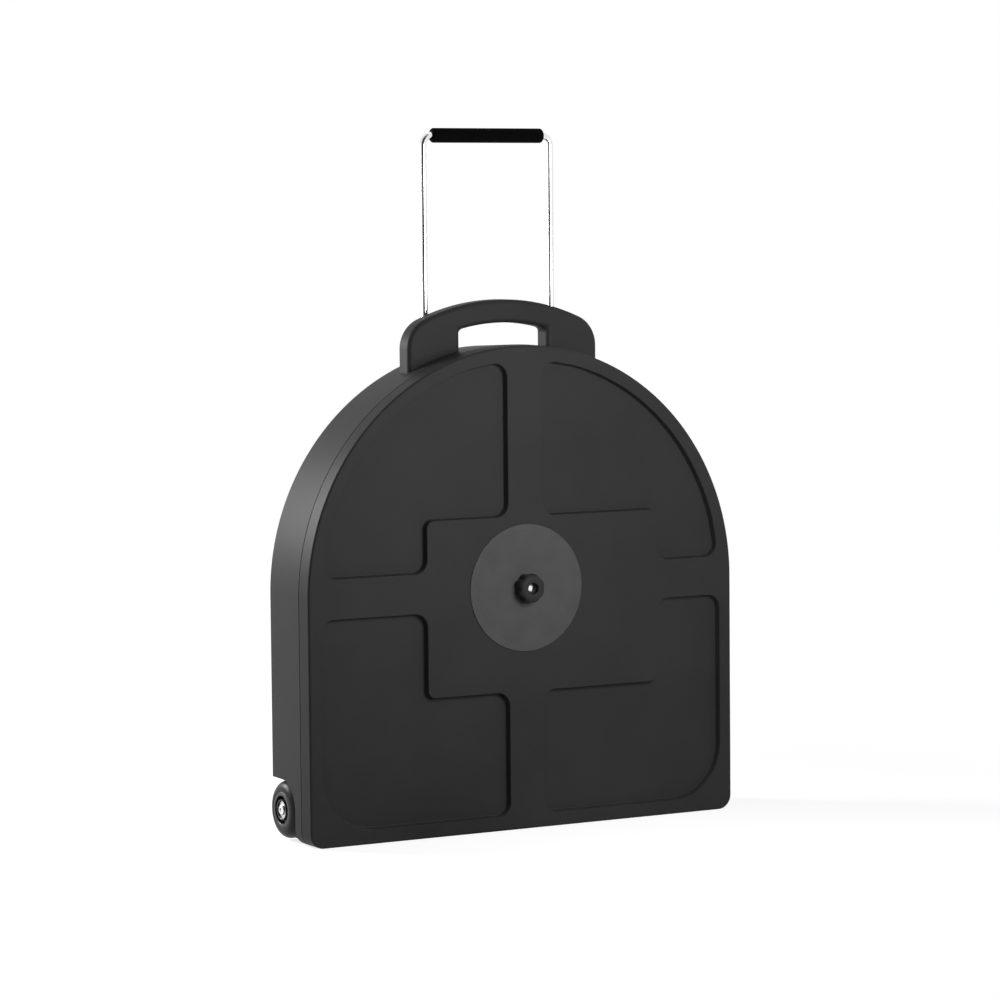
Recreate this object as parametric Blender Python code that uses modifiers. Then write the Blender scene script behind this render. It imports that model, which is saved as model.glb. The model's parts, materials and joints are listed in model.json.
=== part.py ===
"""Wheeled hard case for cymbals, in metres, +Z up.

The case stands on its flat base at Z = 0, centred on the origin. Its front lid faces -Y, and the
pull handle and the two skate wheels are at the back. Run it with
blender --background --python part.py, or from Blender's text editor.
"""

import math

import bmesh
import bpy

# Shell, as it stands
CASE_WIDTH = 0.610
CASE_HEIGHT = 0.610
CASE_DEPTH = 0.116
LID_DEPTH = 0.025
SHELL_WALL = 0.004
LID_FACE_DEPTH = 0.009
BASE_CORNER = 0.019
INNER_CORNER = 0.010
FACE_FILLET = 0.003
BACK_FILLET = 0.005
LID_DRAFT = 0.0008
TUB_DRAFT = 0.0034
LAP_LENGTH = 0.010
LAP_WALL = 0.002

# Relief on the lid's face, seen from the front
SPINDLE_HEIGHT = 0.3055
RECESS_DEPTH = 0.005
RECESS_RUN = 0.004
UPRIGHT_BAR_WIDTH = 0.0494
LEVEL_BAR_WIDTH = 0.0500
PANEL_BORDER = 0.0183
PANEL_CORNER = 0.017
PANEL_BASE_CORNER = 0.070
PLATEAU_LEFT = 0.140
PLATEAU_RIGHT = 0.1928
PLATEAU_UP = 0.090
PLATEAU_DOWN = 0.131
PLATEAU_CORNER = 0.010
PAD_RADIUS = 0.080
PAD_THICKNESS = 0.0010

# Grab handle moulded on the top
GRAB_WIDTH = 0.2724
GRAB_THICKNESS = 0.029
GRAB_SETBACK = 0.051
GRAB_TOP = 0.666
GRAB_CREST_RADIUS = 0.280
GRAB_SHOULDER_RADIUS = 0.040
GRAB_BAR_HEIGHT = 0.0292
GRAB_SLOT_WIDTH = 0.1256
GRAB_EDGE = 0.007
GRAB_ROOT = 0.050

# Pull handle
ROD_DIAMETER = 0.009
ROD_SPACING = 0.183
ROD_SETBACK = 0.0915
ROD_BEND = 0.012
GRIP_HEIGHT = 0.8725
GRIP_LENGTH = 0.159
GRIP_DIAMETER = 0.0185
HANDLE_TRAVEL = 0.245
STOP_LENGTH = 0.014
STOP_FLOOR = 0.003
TUBE_DIAMETER = 0.017
TUBE_WALL = 0.0015
BUSH_LENGTH = 0.035
BUSH_FLANGE_RADIUS = 0.0115
BUSH_FLANGE_THICKNESS = 0.003
BOSS_RADIUS = 0.013
BOSS_TOP = 0.601
BOSS_LENGTH = 0.034

# Brackets that hold the guide tubes to the back wall
BRACKET_WIDTH = 0.040
BRACKET_HEIGHT = 0.018
BRACKET_FLOOR = 0.004
BRACKET_SCREW_SPACING = 0.030

# Screws through the back wall
SCREW_DIAMETER = 0.004
SCREW_HEAD_RADIUS = 0.0040
SCREW_HEAD_HEIGHT = 0.0018
SCREW_DEPTH = 0.009

# Spindle and what it carries
SPINDLE_DIAMETER = 0.008
SPINDLE_PROUD = 0.0110
FLANGE_RADIUS = 0.030
FLANGE_THICKNESS = 0.003
FLANGE_BOSS_RADIUS = 0.010
FLANGE_BOSS_LENGTH = 0.012
FLANGE_SCREW_CIRCLE = 0.042
FLANGE_SCREW_COUNT = 4
SLEEVE_RADIUS = 0.0065
SLEEVE_LENGTH = 0.041
FELT_RADIUS = 0.020
FELT_THICKNESS = 0.005
NUT_WASHER_RADIUS = 0.013
NUT_WASHER_THICKNESS = 0.0015
WING_NUT_RADIUS = 0.0085
WING_NUT_HEIGHT = 0.010
WING_SPAN = 0.046
WING_HEIGHT = 0.016
WING_THICKNESS = 0.0035

# Clamp knob
KNOB_LOBES = 8
KNOB_RADIUS = 0.0187
KNOB_LENGTH = 0.0165
KNOB_LOBE_DEPTH = 0.0022
KNOB_MOUTH_RADIUS = 0.0072
KNOB_MOUTH_DEPTH = 0.0072
KNOB_LIP_THICKNESS = 0.0010
KNOB_INSERT_RADIUS = 0.0060
KNOB_WASHER_RADIUS = 0.0140
KNOB_WASHER_THICKNESS = 0.0010

# Foam
LID_FOAM_THICKNESS = 0.008
FOAM_RADIUS = 0.285
FOAM_COVER = 0.004

# Wheels
WHEEL_DIAMETER = 0.072
WHEEL_WIDTH = 0.024
WHEEL_SETBACK = 0.082
WHEEL_HEIGHT = 0.039
CORE_RADIUS = 0.0225
CORE_RIM_RADIUS = 0.0178
CORE_HUB_RADIUS = 0.0132
CORE_WEB_DEPTH = 0.004
BEARING_RADIUS = 0.011
BEARING_WIDTH = 0.007
BEARING_RECESS = 0.002
INNER_RING_RADIUS = 0.0060
SHIELD_THICKNESS = 0.0005
RING_THICKNESS = 0.0018
AXLE_DIAMETER = 0.008
AXLE_HEAD_RADIUS = 0.0065
AXLE_HEAD_HEIGHT = 0.0030
WALL_SPACER_RADIUS = 0.0060
POCKET_CLEARANCE = 0.002
POCKET_SIDE_CLEARANCE = 0.0015
AXLE_PLATE_SIZE = 0.050
AXLE_PLATE_THICKNESS = 0.003
AXLE_WASHER_RADIUS = 0.008
AXLE_WASHER_THICKNESS = 0.0016
AXLE_NUT_WIDTH = 0.013
AXLE_NUT_HEIGHT = 0.008
AXLE_END = 0.002

# Gaps between pieces
SEAT_GAP = 0.0003
THREAD_GAP = 0.0003
SLIDE_GAP = 0.0004
CUT_MARGIN = 0.010

# Steps of the round shapes
ARCH_STEPS = 40
CORNER_STEPS = 4
FILLET_STEPS = 3
LARGE_STEPS = 40
WHEEL_STEPS = 28
ROUND_STEPS = 16
SMALL_STEPS = 10
LOBE_STEPS = 5

# Places worked out from the sizes
FRONT_Y = -CASE_DEPTH / 2
BACK_Y = CASE_DEPTH / 2
PARTING_Y = FRONT_Y + LID_DEPTH
BACK_WALL_Y = BACK_Y - SHELL_WALL
ARCH_CENTRE = CASE_HEIGHT - CASE_WIDTH / 2
LID_INNER_Y = FRONT_Y + LID_FACE_DEPTH
LID_FOAM_Y = LID_INNER_Y + SEAT_GAP + LID_FOAM_THICKNESS
ROD_Y = FRONT_Y + ROD_SETBACK
ROD_RADIUS = ROD_DIAMETER / 2
TUBE_RADIUS = TUBE_DIAMETER / 2
TUBE_BORE = TUBE_RADIUS - TUBE_WALL
TUBE_SOCKET = TUBE_RADIUS + SEAT_GAP
TUBE_TOP = BOSS_TOP - SEAT_GAP
BUSH_BOTTOM = TUBE_TOP - BUSH_LENGTH
ROD_END = BUSH_BOTTOM - SEAT_GAP - STOP_LENGTH
TUBE_BOTTOM = ROD_END - STOP_FLOOR - HANDLE_TRAVEL - SLIDE_GAP
BRACKET_MIDDLE = TUBE_BOTTOM - SEAT_GAP - BRACKET_FLOOR + BRACKET_HEIGHT / 2
BRACKET_Y = ROD_Y - BOSS_RADIUS
REAR_FOAM_Y = BRACKET_Y - FOAM_COVER
SCREW_RADIUS = SCREW_DIAMETER / 2
SCREW_HOLE = SCREW_RADIUS + THREAD_GAP
SPINDLE_RADIUS = SPINDLE_DIAMETER / 2
SPINDLE_BORE = SPINDLE_RADIUS + THREAD_GAP
FLANGE_Y = BACK_WALL_Y - SEAT_GAP
SPINDLE_BACK_Y = FLANGE_Y - SEAT_GAP
SPINDLE_TIP_Y = FRONT_Y - SPINDLE_PROUD
FLANGE_FRONT_Y = FLANGE_Y - FLANGE_THICKNESS - FLANGE_BOSS_LENGTH
SLEEVE_BACK_Y = FLANGE_FRONT_Y - SEAT_GAP
SLEEVE_FRONT_Y = SLEEVE_BACK_Y - SLEEVE_LENGTH
NUT_FELT_Y = SLEEVE_FRONT_Y - SEAT_GAP
NUT_WASHER_Y = NUT_FELT_Y - FELT_THICKNESS - SEAT_GAP
WING_NUT_Y = NUT_WASHER_Y - NUT_WASHER_THICKNESS - SEAT_GAP
PAD_Y = FRONT_Y - SEAT_GAP
KNOB_WASHER_Y = PAD_Y - PAD_THICKNESS - SEAT_GAP
KNOB_Y = KNOB_WASHER_Y - KNOB_WASHER_THICKNESS - SEAT_GAP
WHEEL_RADIUS = WHEEL_DIAMETER / 2
WHEEL_Y = FRONT_Y + WHEEL_SETBACK
POCKET_RADIUS = WHEEL_RADIUS + POCKET_CLEARANCE
WHEEL_INNER_X = CASE_WIDTH / 2 - WHEEL_WIDTH
POCKET_X = WHEEL_INNER_X - POCKET_SIDE_CLEARANCE
AXLE_RADIUS = AXLE_DIAMETER / 2
AXLE_BORE = AXLE_RADIUS + THREAD_GAP
SIDES = (("left", -1), ("right", 1))

FINISHES = {
    "black_plastic": ((0.040, 0.040, 0.042), 0.62, 0.0),
    "grey_rubber": ((0.085, 0.085, 0.088), 0.70, 0.0),
    "foam": ((0.030, 0.030, 0.032), 0.95, 0.0),
    "felt": ((0.050, 0.048, 0.046), 0.95, 0.0),
    "chrome": ((0.80, 0.80, 0.81), 0.08, 1.0),
    "zinc": ((0.62, 0.62, 0.63), 0.30, 1.0),
    "aluminium": ((0.70, 0.70, 0.71), 0.35, 1.0),
    "brass": ((0.72, 0.55, 0.25), 0.30, 1.0),
    "nylon": ((0.045, 0.045, 0.047), 0.45, 0.0),
    "tyre": ((0.035, 0.035, 0.037), 0.40, 0.0),
}


def clear_scene():
    """Remove every object that the scene starts with."""
    for obj in list(bpy.data.objects):
        bpy.data.objects.remove(obj, do_unlink=True)


def make_collection(name):
    """Return a new collection linked to the scene."""
    collection = bpy.data.collections.new(name)
    bpy.context.scene.collection.children.link(collection)
    return collection


def make_finishes():
    """Make one Principled material for each finish."""
    made = {}
    for name, (colour, roughness, metallic) in FINISHES.items():
        material = bpy.data.materials.new(name)
        material.use_nodes = True
        shader = material.node_tree.nodes["Principled BSDF"]
        shader.inputs["Base Color"].default_value = (*colour, 1.0)
        shader.inputs["Roughness"].default_value = roughness
        shader.inputs["Metallic"].default_value = metallic
        made[name] = material
    return made


clear_scene()
PARTS = make_collection("wheeled_cymbal_case")
TOOLS = make_collection("cutters")
FINISH = make_finishes()


def add_part(obj, finish, parent=None):
    """Keep an object as a piece of the case, in its finish."""
    PARTS.objects.link(obj)
    obj.data.materials.clear()
    obj.data.materials.append(FINISH[finish])
    obj.parent = parent
    return obj


def add_tool(obj):
    """Keep an object as a cutter or a form that another piece takes in."""
    TOOLS.objects.link(obj)
    obj.hide_render = True
    obj.display_type = "WIRE"
    return obj


def combine(obj, tool, operation="DIFFERENCE"):
    """Cut a tool from an object, or join it to the object."""
    modifier = obj.modifiers.new(tool.name, "BOOLEAN")
    modifier.operation = operation
    modifier.solver = "EXACT"
    modifier.object = tool
    return modifier


def new_object(name, bm):
    """Turn a bmesh into an unlinked object with smooth round faces."""
    mesh = bpy.data.meshes.new(name)
    bm.to_mesh(mesh)
    bm.free()
    mesh.shade_smooth()
    mesh.set_sharp_from_angle(angle=math.radians(35))
    return bpy.data.objects.new(name, mesh)


def arc(centre_x, centre_z, radius, start, end, steps):
    """Points along an arc in the XZ plane, with its angles in degrees."""
    points = []
    for step in range(steps + 1):
        angle = math.radians(start + (end - start) * step / steps)
        points.append((centre_x + radius * math.cos(angle), centre_z + radius * math.sin(angle)))
    return points


def upright_ring(outline, y):
    """Stand an (x, z) outline up at a distance y."""
    return [(x, y, z) for x, z in outline]


def loft(name, rings, looped=False):
    """Skin closed rings of equal length, capped at both ends or joined end to end."""
    bm = bmesh.new()
    rows = [[bm.verts.new(point) for point in ring] for ring in rings]
    pairs = list(zip(rows[:-1], rows[1:]))
    if looped:
        pairs.append((rows[-1], rows[0]))
    count = len(rows[0])
    for first, second in pairs:
        for index in range(count):
            after = (index + 1) % count
            bm.faces.new((first[index], first[after], second[after], second[index]))
    if not looped:
        bm.faces.new(rows[0])
        bm.faces.new(rows[-1])
    bmesh.ops.recalc_face_normals(bm, faces=bm.faces)
    return new_object(name, bm)


def turned(name, profile, steps=ROUND_STEPS):
    """Turn a (radius, height) profile about local Z with a Screw modifier.

    The profile runs down its outer side. It is closed unless it starts and ends on the axis.
    """
    bm = bmesh.new()
    verts = [bm.verts.new((radius, 0.0, height)) for radius, height in profile]
    for first, second in zip(verts[:-1], verts[1:]):
        bm.edges.new((first, second))
    if profile[0][0] > 0:
        bm.edges.new((verts[-1], verts[0]))
    obj = new_object(name, bm)
    screw = obj.modifiers.new("turn", "SCREW")
    screw.axis = "Z"
    screw.angle = 2 * math.pi
    screw.steps = steps
    screw.render_steps = steps
    screw.use_merge_vertices = True
    screw.merge_threshold = 0.00001
    screw.use_smooth_shade = True
    return obj


def ring_profile(outer, inner, low, high):
    """Profile of a plain ring between two heights."""
    return [(outer, high), (outer, low), (inner, low), (inner, high)]


def rod_profile(radius, low, high):
    """Profile of a plain rod between two heights."""
    return [(0.0, high), (radius, high), (radius, low), (0.0, low)]


def rod(name, radius, low, high, steps=ROUND_STEPS):
    """A plain rod along local Z."""
    bm = bmesh.new()
    bmesh.ops.create_cone(
        bm, cap_ends=True, segments=steps, radius1=radius, radius2=radius, depth=high - low
    )
    bmesh.ops.translate(bm, verts=bm.verts, vec=(0.0, 0.0, (high + low) / 2))
    return new_object(name, bm)


def box(name, low, high):
    """A box between two corners."""
    bm = bmesh.new()
    bmesh.ops.create_cube(bm, size=1.0)
    size = [high[axis] - low[axis] for axis in range(3)]
    middle = [(high[axis] + low[axis]) / 2 for axis in range(3)]
    bmesh.ops.scale(bm, verts=bm.verts, vec=size)
    bmesh.ops.translate(bm, verts=bm.verts, vec=middle)
    return new_object(name, bm)


def plate(name, outline, thickness):
    """A flat plate from an outline: a filled 2D curve, made a closed mesh in its local XY plane."""
    curve = bpy.data.curves.new(name, "CURVE")
    curve.dimensions = "2D"
    curve.fill_mode = "BOTH"
    curve.extrude = thickness / 2
    spline = curve.splines.new("POLY")
    spline.points.add(len(outline) - 1)
    for point, (x, y) in zip(spline.points, outline):
        point.co = (x, y, 0.0, 1.0)
    spline.use_cyclic_u = True
    return curve_to_mesh(bpy.data.objects.new(name, curve))


def curve_to_mesh(obj):
    """Replace a curve object by a closed mesh object of the same name."""
    bpy.context.scene.collection.objects.link(obj)
    depsgraph = bpy.context.evaluated_depsgraph_get()
    mesh = bpy.data.meshes.new_from_object(obj.evaluated_get(depsgraph))
    name = obj.name
    matrix = obj.matrix_world.copy()
    bpy.data.objects.remove(obj, do_unlink=True)
    bm = bmesh.new()
    bm.from_mesh(mesh)
    bpy.data.meshes.remove(mesh)
    bmesh.ops.remove_doubles(bm, verts=bm.verts, dist=0.00001)
    bmesh.ops.recalc_face_normals(bm, faces=bm.faces)
    made = new_object(name, bm)
    made.matrix_world = matrix
    return made


def merged(name, objects):
    """Join plain mesh objects into one object of separate bodies, each where it stands."""
    bm = bmesh.new()
    for obj in objects:
        part = bmesh.new()
        part.from_mesh(obj.data)
        bmesh.ops.transform(part, matrix=obj.matrix_basis, verts=part.verts)
        mesh = bpy.data.meshes.new("part")
        part.to_mesh(mesh)
        part.free()
        bm.from_mesh(mesh)
        bpy.data.meshes.remove(mesh)
        bpy.data.objects.remove(obj, do_unlink=True)
    return new_object(name, bm)


def facing_front(obj, x, y, z):
    """Place an object with its local Z towards the front."""
    obj.rotation_euler = (math.pi / 2, 0.0, 0.0)
    obj.location = (x, y, z)
    return obj


def facing_back(obj, x, y, z):
    """Place an object with its local Z towards the back."""
    obj.rotation_euler = (-math.pi / 2, 0.0, 0.0)
    obj.location = (x, y, z)
    return obj


def empty(name, location, rotation=(0.0, 0.0, 0.0)):
    """An empty that carries the pieces that move together."""
    obj = bpy.data.objects.new(name, None)
    obj.empty_display_size = 0.03
    obj.location = location
    obj.rotation_euler = rotation
    PARTS.objects.link(obj)
    return obj


def case_outline(inset, base, corner=None):
    """The case seen from the front: an arch on straight sides, drawn in by an inset."""
    half = CASE_WIDTH / 2 - inset
    if corner is None:
        corner = BASE_CORNER - inset
    points = arc(half - corner, base + corner, corner, -90, 0, CORNER_STEPS)
    points += arc(0.0, ARCH_CENTRE, half, 0, 180, ARCH_STEPS)
    points += arc(corner - half, base + corner, corner, 180, 270, CORNER_STEPS)
    return points


def shell_ring(y, inset=0.0, base=0.0, corner=None):
    """The case's outline, stood at a distance y."""
    return upright_ring(case_outline(inset, base, corner), y)


def fillet_rings(face_y, side_y, fillet, draft):
    """Rings that round the edge from the flat face at face_y to the side at side_y."""
    rings = []
    towards_side = math.copysign(1.0, side_y - face_y)
    for step in range(FILLET_STEPS + 1):
        angle = math.pi / 2 * step / FILLET_STEPS
        inset = fillet * (1 - math.sin(angle))
        y = face_y + towards_side * fillet * (1 - math.cos(angle))
        rings.append(shell_ring(y, draft + inset, inset))
    return rings


def round_corners(corners):
    """Points of a polygon from (x, z, radius) corners, each rounded by its radius."""
    points = []
    count = len(corners)
    for index, (x, z, radius) in enumerate(corners):
        if radius == 0:
            points.append((x, z))
            continue
        before = corners[index - 1]
        after = corners[(index + 1) % count]
        to_before = math.atan2(before[1] - z, before[0] - x)
        to_after = math.atan2(after[1] - z, after[0] - x)
        turn = (to_after - to_before + math.pi) % (2 * math.pi) - math.pi
        bisector = to_before + turn / 2
        reach = radius / math.sin(abs(turn) / 2)
        centre_x = x + reach * math.cos(bisector)
        centre_z = z + reach * math.sin(bisector)
        start = to_before + math.copysign(math.pi / 2, -turn)
        sweep = math.copysign(math.pi - abs(turn), -turn)
        for step in range(CORNER_STEPS + 1):
            angle = start + sweep * step / CORNER_STEPS
            points.append((centre_x + radius * math.cos(angle), centre_z + radius * math.sin(angle)))
    return points


def upper_panel(side, inset):
    """Outline of an upper panel of the lid, drawn in by an inset."""
    bar = UPRIGHT_BAR_WIDTH / 2 + inset
    floor = SPINDLE_HEIGHT + LEVEL_BAR_WIDTH / 2 + inset
    plateau = (PLATEAU_RIGHT if side > 0 else PLATEAU_LEFT) + inset
    ledge = SPINDLE_HEIGHT + PLATEAU_UP + inset
    radius = CASE_WIDTH / 2 - PANEL_BORDER - inset
    corner = PANEL_CORNER - inset
    start = math.degrees(math.asin((floor - ARCH_CENTRE) / radius))
    end = math.degrees(math.acos(bar / radius))
    rim = arc(0.0, ARCH_CENTRE, radius, start, end, ARCH_STEPS // 3)
    corners = [(bar, ledge, corner), (plateau, ledge, PLATEAU_CORNER + inset), (plateau, floor, corner)]
    corners += [(*rim[0], corner)]
    corners += [(x, z, 0) for x, z in rim[1:-1]]
    corners += [(*rim[-1], corner)]
    return [(side * x, z) for x, z in round_corners(corners)]


def lower_panel(side, inset):
    """Outline of a lower panel of the lid, drawn in by an inset."""
    bar = UPRIGHT_BAR_WIDTH / 2 + inset
    roof = SPINDLE_HEIGHT - LEVEL_BAR_WIDTH / 2 - inset
    plateau = (PLATEAU_RIGHT if side > 0 else PLATEAU_LEFT) + inset
    ledge = SPINDLE_HEIGHT - PLATEAU_DOWN - inset
    edge = CASE_WIDTH / 2 - PANEL_BORDER - inset
    floor = PANEL_BORDER + inset
    corner = PANEL_CORNER - inset
    corners = [
        (bar, ledge, corner),
        (plateau, ledge, PLATEAU_CORNER + inset),
        (plateau, roof, corner),
        (edge, roof, corner),
        (edge, floor, PANEL_BASE_CORNER - inset),
        (bar, floor, corner),
    ]
    return [(side * x, z) for x, z in round_corners(corners)]


def panel_cutter(name, outline, side):
    """Cutter for a recessed panel with sloping walls."""
    slope = RECESS_RUN / RECESS_DEPTH
    proud = RECESS_DEPTH / 2
    rings = [
        upright_ring(outline(side, -proud * slope), FRONT_Y - proud),
        upright_ring(outline(side, RECESS_RUN), FRONT_Y + RECESS_DEPTH),
    ]
    return add_tool(loft(name, rings))


def lid_channel_cutters():
    """Cutters that hollow the bars and the plateau from behind, to the shell's wall."""
    front = FRONT_Y + SHELL_WALL
    back = LID_INNER_Y + CUT_MARGIN
    upright = UPRIGHT_BAR_WIDTH / 2 - SHELL_WALL
    level = LEVEL_BAR_WIDTH / 2 - SHELL_WALL
    reach = CASE_WIDTH / 2 - PANEL_BORDER - RECESS_RUN
    foot = SHELL_WALL + FACE_FILLET
    low_z = PANEL_BORDER + RECESS_RUN
    sizes = {
        "upright_channel": ((-upright, low_z), (upright, ARCH_CENTRE + reach)),
        "level_channel": ((-reach, SPINDLE_HEIGHT - level), (reach, SPINDLE_HEIGHT + level)),
        "plateau_channel": (
            (foot - PLATEAU_LEFT, SPINDLE_HEIGHT - PLATEAU_DOWN + foot),
            (PLATEAU_RIGHT - foot, SPINDLE_HEIGHT + PLATEAU_UP - foot),
        ),
    }
    cutters = []
    for name, (low, high) in sizes.items():
        cutters.append(add_tool(box(name, (low[0], front, low[1]), (high[0], back, high[1]))))
    return cutters


def make_lid():
    """Front lid: a moulded pan with four recessed panels, lapped over the tub's rim."""
    end_y = PARTING_Y - SEAT_GAP / 2
    rings = fillet_rings(FRONT_Y, end_y, FACE_FILLET, LID_DRAFT)
    rings.append(shell_ring(end_y))
    lid = add_part(loft("front_lid", rings), "black_plastic")
    lap_y = PARTING_Y - LAP_LENGTH
    cavity = [
        shell_ring(LID_INNER_Y, SHELL_WALL + LID_DRAFT, SHELL_WALL, INNER_CORNER),
        shell_ring(lap_y, SHELL_WALL, SHELL_WALL, INNER_CORNER),
        shell_ring(lap_y, LAP_WALL, LAP_WALL),
        shell_ring(PARTING_Y + CUT_MARGIN, LAP_WALL, LAP_WALL),
    ]
    combine(lid, add_tool(loft("lid_cavity", cavity)))
    for name, side in SIDES:
        combine(lid, panel_cutter(f"upper_panel_{name}", upper_panel, side))
        combine(lid, panel_cutter(f"lower_panel_{name}", lower_panel, side))
    for cutter in lid_channel_cutters():
        combine(lid, cutter)
    hole = rod("lid_spindle_hole", SPINDLE_BORE + SLIDE_GAP, -CUT_MARGIN, CUT_MARGIN, ROUND_STEPS)
    combine(lid, add_tool(facing_front(hole, 0.0, FRONT_Y, SPINDLE_HEIGHT)))
    return lid


def grab_outline():
    """The grab handle seen from the front: an arch on two legs, with the hand slot between them."""
    half = GRAB_WIDTH / 2
    slot = GRAB_SLOT_WIDTH / 2
    crest_z = GRAB_TOP - GRAB_CREST_RADIUS
    root = ARCH_CENTRE + math.sqrt((CASE_WIDTH / 2) ** 2 - half ** 2) - GRAB_ROOT
    shoulder_x = half - GRAB_SHOULDER_RADIUS
    reach = GRAB_CREST_RADIUS - GRAB_SHOULDER_RADIUS
    shoulder_z = crest_z + math.sqrt(reach ** 2 - shoulder_x ** 2)
    lean = math.degrees(math.atan2(shoulder_z - crest_z, shoulder_x))
    inner = GRAB_CREST_RADIUS - GRAB_BAR_HEIGHT
    slot_lean = math.degrees(math.acos(slot / inner))
    points = [(half, root)]
    points += arc(shoulder_x, shoulder_z, GRAB_SHOULDER_RADIUS, 0, lean, CORNER_STEPS + 2)
    points += arc(0.0, crest_z, GRAB_CREST_RADIUS, lean, 180 - lean, 12)[1:-1]
    points += arc(-shoulder_x, shoulder_z, GRAB_SHOULDER_RADIUS, 180 - lean, 180, CORNER_STEPS + 2)
    points += [(-half, root), (-slot, root)]
    points += arc(0.0, crest_z, inner, 180 - slot_lean, slot_lean, 8)
    points += [(slot, root)]
    return points


def make_grab_form():
    """The grab handle as a form that the tub takes in."""
    form = plate("grab_form", grab_outline(), GRAB_THICKNESS)
    middle = FRONT_Y + GRAB_SETBACK + GRAB_THICKNESS / 2
    facing_front(form, 0.0, middle, 0.0)
    bevel = form.modifiers.new("round_edges", "BEVEL")
    bevel.width = GRAB_EDGE
    bevel.segments = 3
    bevel.limit_method = "ANGLE"
    bevel.angle_limit = math.radians(40)
    return add_tool(form)


def pocket_outline(grow):
    """Wheel pocket seen from the side, as (y, z): round in front, open behind and below."""
    radius = POCKET_RADIUS + grow
    low = -CUT_MARGIN
    back = BACK_Y + CUT_MARGIN
    points = arc(WHEEL_Y, WHEEL_HEIGHT, radius, 90, 180, CORNER_STEPS * 2)
    return points + [(WHEEL_Y - radius, low), (back, low), (back, WHEEL_HEIGHT + radius)]


def pocket_form(name, side, grow):
    """Wheel pocket as a cutter, grown by a wall where it is kept out of the cavity."""
    inner = POCKET_X - grow
    outer = CASE_WIDTH / 2 + CUT_MARGIN
    form = plate(f"{name}_{side}", pocket_outline(grow), outer - inner)
    form.rotation_euler = (math.pi / 2, 0.0, math.pi / 2)
    form.location = (side * (outer + inner) / 2, 0.0, 0.0)
    return add_tool(form)


def tub_cavity():
    """Inside of the tub, less the wheel pockets' walls and the guide tubes' sockets."""
    rings = [
        shell_ring(PARTING_Y - LAP_LENGTH - CUT_MARGIN, SHELL_WALL, SHELL_WALL, INNER_CORNER),
        shell_ring(PARTING_Y, SHELL_WALL, SHELL_WALL, INNER_CORNER),
        shell_ring(BACK_WALL_Y, SHELL_WALL + TUB_DRAFT, SHELL_WALL, INNER_CORNER),
    ]
    cavity = add_tool(loft("tub_cavity", rings))
    for name, side in SIDES:
        combine(cavity, pocket_form("pocket_wall", side, SHELL_WALL))
        socket = rod(f"tube_socket_{name}", BOSS_RADIUS, BOSS_TOP - BOSS_LENGTH, BOSS_TOP, ROUND_STEPS)
        socket.location = (side * ROD_SPACING / 2, ROD_Y, 0.0)
        combine(cavity, add_tool(socket))
    return cavity


def screw_places():
    """(x, z) of each screw through the back wall: brackets first, then the spindle's flange."""
    brackets = []
    for _, side in SIDES:
        for across in (-1, 1):
            x = side * ROD_SPACING / 2 + across * BRACKET_SCREW_SPACING / 2
            brackets.append((x, BRACKET_MIDDLE))
    flange = []
    for index in range(FLANGE_SCREW_COUNT):
        angle = 2 * math.pi * (index + 0.5) / FLANGE_SCREW_COUNT
        radius = FLANGE_SCREW_CIRCLE / 2
        flange.append((radius * math.cos(angle), SPINDLE_HEIGHT + radius * math.sin(angle)))
    return brackets, flange


def make_tub():
    """Rear shell: tub with its tongue, grab handle, tube bosses and wheel pockets."""
    tongue = LAP_WALL + SEAT_GAP
    tongue_y = PARTING_Y - LAP_LENGTH + SEAT_GAP
    shoulder_y = PARTING_Y + SEAT_GAP / 2
    rings = [
        shell_ring(tongue_y, tongue, tongue),
        shell_ring(shoulder_y, tongue, tongue),
        shell_ring(shoulder_y),
    ]
    rings += reversed(fillet_rings(BACK_Y, shoulder_y, BACK_FILLET, TUB_DRAFT))
    tub = add_part(loft("rear_shell", rings), "black_plastic")
    combine(tub, make_grab_form(), "UNION")
    for name, side in SIDES:
        boss = rod(f"tube_boss_{name}", BOSS_RADIUS, BOSS_TOP - BOSS_LENGTH / 2, BOSS_TOP, ROUND_STEPS)
        boss.location = (side * ROD_SPACING / 2, ROD_Y, 0.0)
        combine(tub, add_tool(boss), "UNION")
    combine(tub, tub_cavity())
    for name, side in SIDES:
        combine(tub, pocket_form("pocket", side, 0.0))
        low = BOSS_TOP - BOSS_LENGTH - CUT_MARGIN
        bore = rod(f"tube_bore_{name}", TUBE_SOCKET, low, BOSS_TOP + CUT_MARGIN, ROUND_STEPS)
        bore.location = (side * ROD_SPACING / 2, ROD_Y, 0.0)
        combine(tub, add_tool(bore))
        axle = rod(f"axle_hole_{name}", AXLE_BORE, -CUT_MARGIN, CUT_MARGIN, ROUND_STEPS)
        axle.rotation_euler = (0.0, math.pi / 2, 0.0)
        axle.location = (side * POCKET_X, WHEEL_Y, WHEEL_HEIGHT)
        combine(tub, add_tool(axle))
    brackets, flange = screw_places()
    drills = []
    for x, z in brackets + flange:
        drill = rod("drill", SCREW_HOLE, -CUT_MARGIN, CUT_MARGIN, SMALL_STEPS)
        drills.append(facing_back(drill, x, BACK_Y, z))
        bpy.context.view_layer.update()
    combine(tub, add_tool(merged("back_wall_drills", drills)))
    return tub


def make_screw(name, x, z):
    """A dome-headed screw through the back wall, with its head outside."""
    dome = [(0.0, SCREW_HEAD_HEIGHT)]
    for angle in (60, 30):
        bend = math.radians(angle)
        dome.append((SCREW_HEAD_RADIUS * math.cos(bend), SCREW_HEAD_HEIGHT * math.sin(bend)))
    dome += [(SCREW_HEAD_RADIUS, 0.0), (SCREW_RADIUS, 0.0), (SCREW_RADIUS, -SCREW_DEPTH), (0.0, -SCREW_DEPTH)]
    screw = turned(name, dome, SMALL_STEPS)
    add_part(facing_back(screw, x, BACK_Y + SEAT_GAP, z), "zinc")


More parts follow.
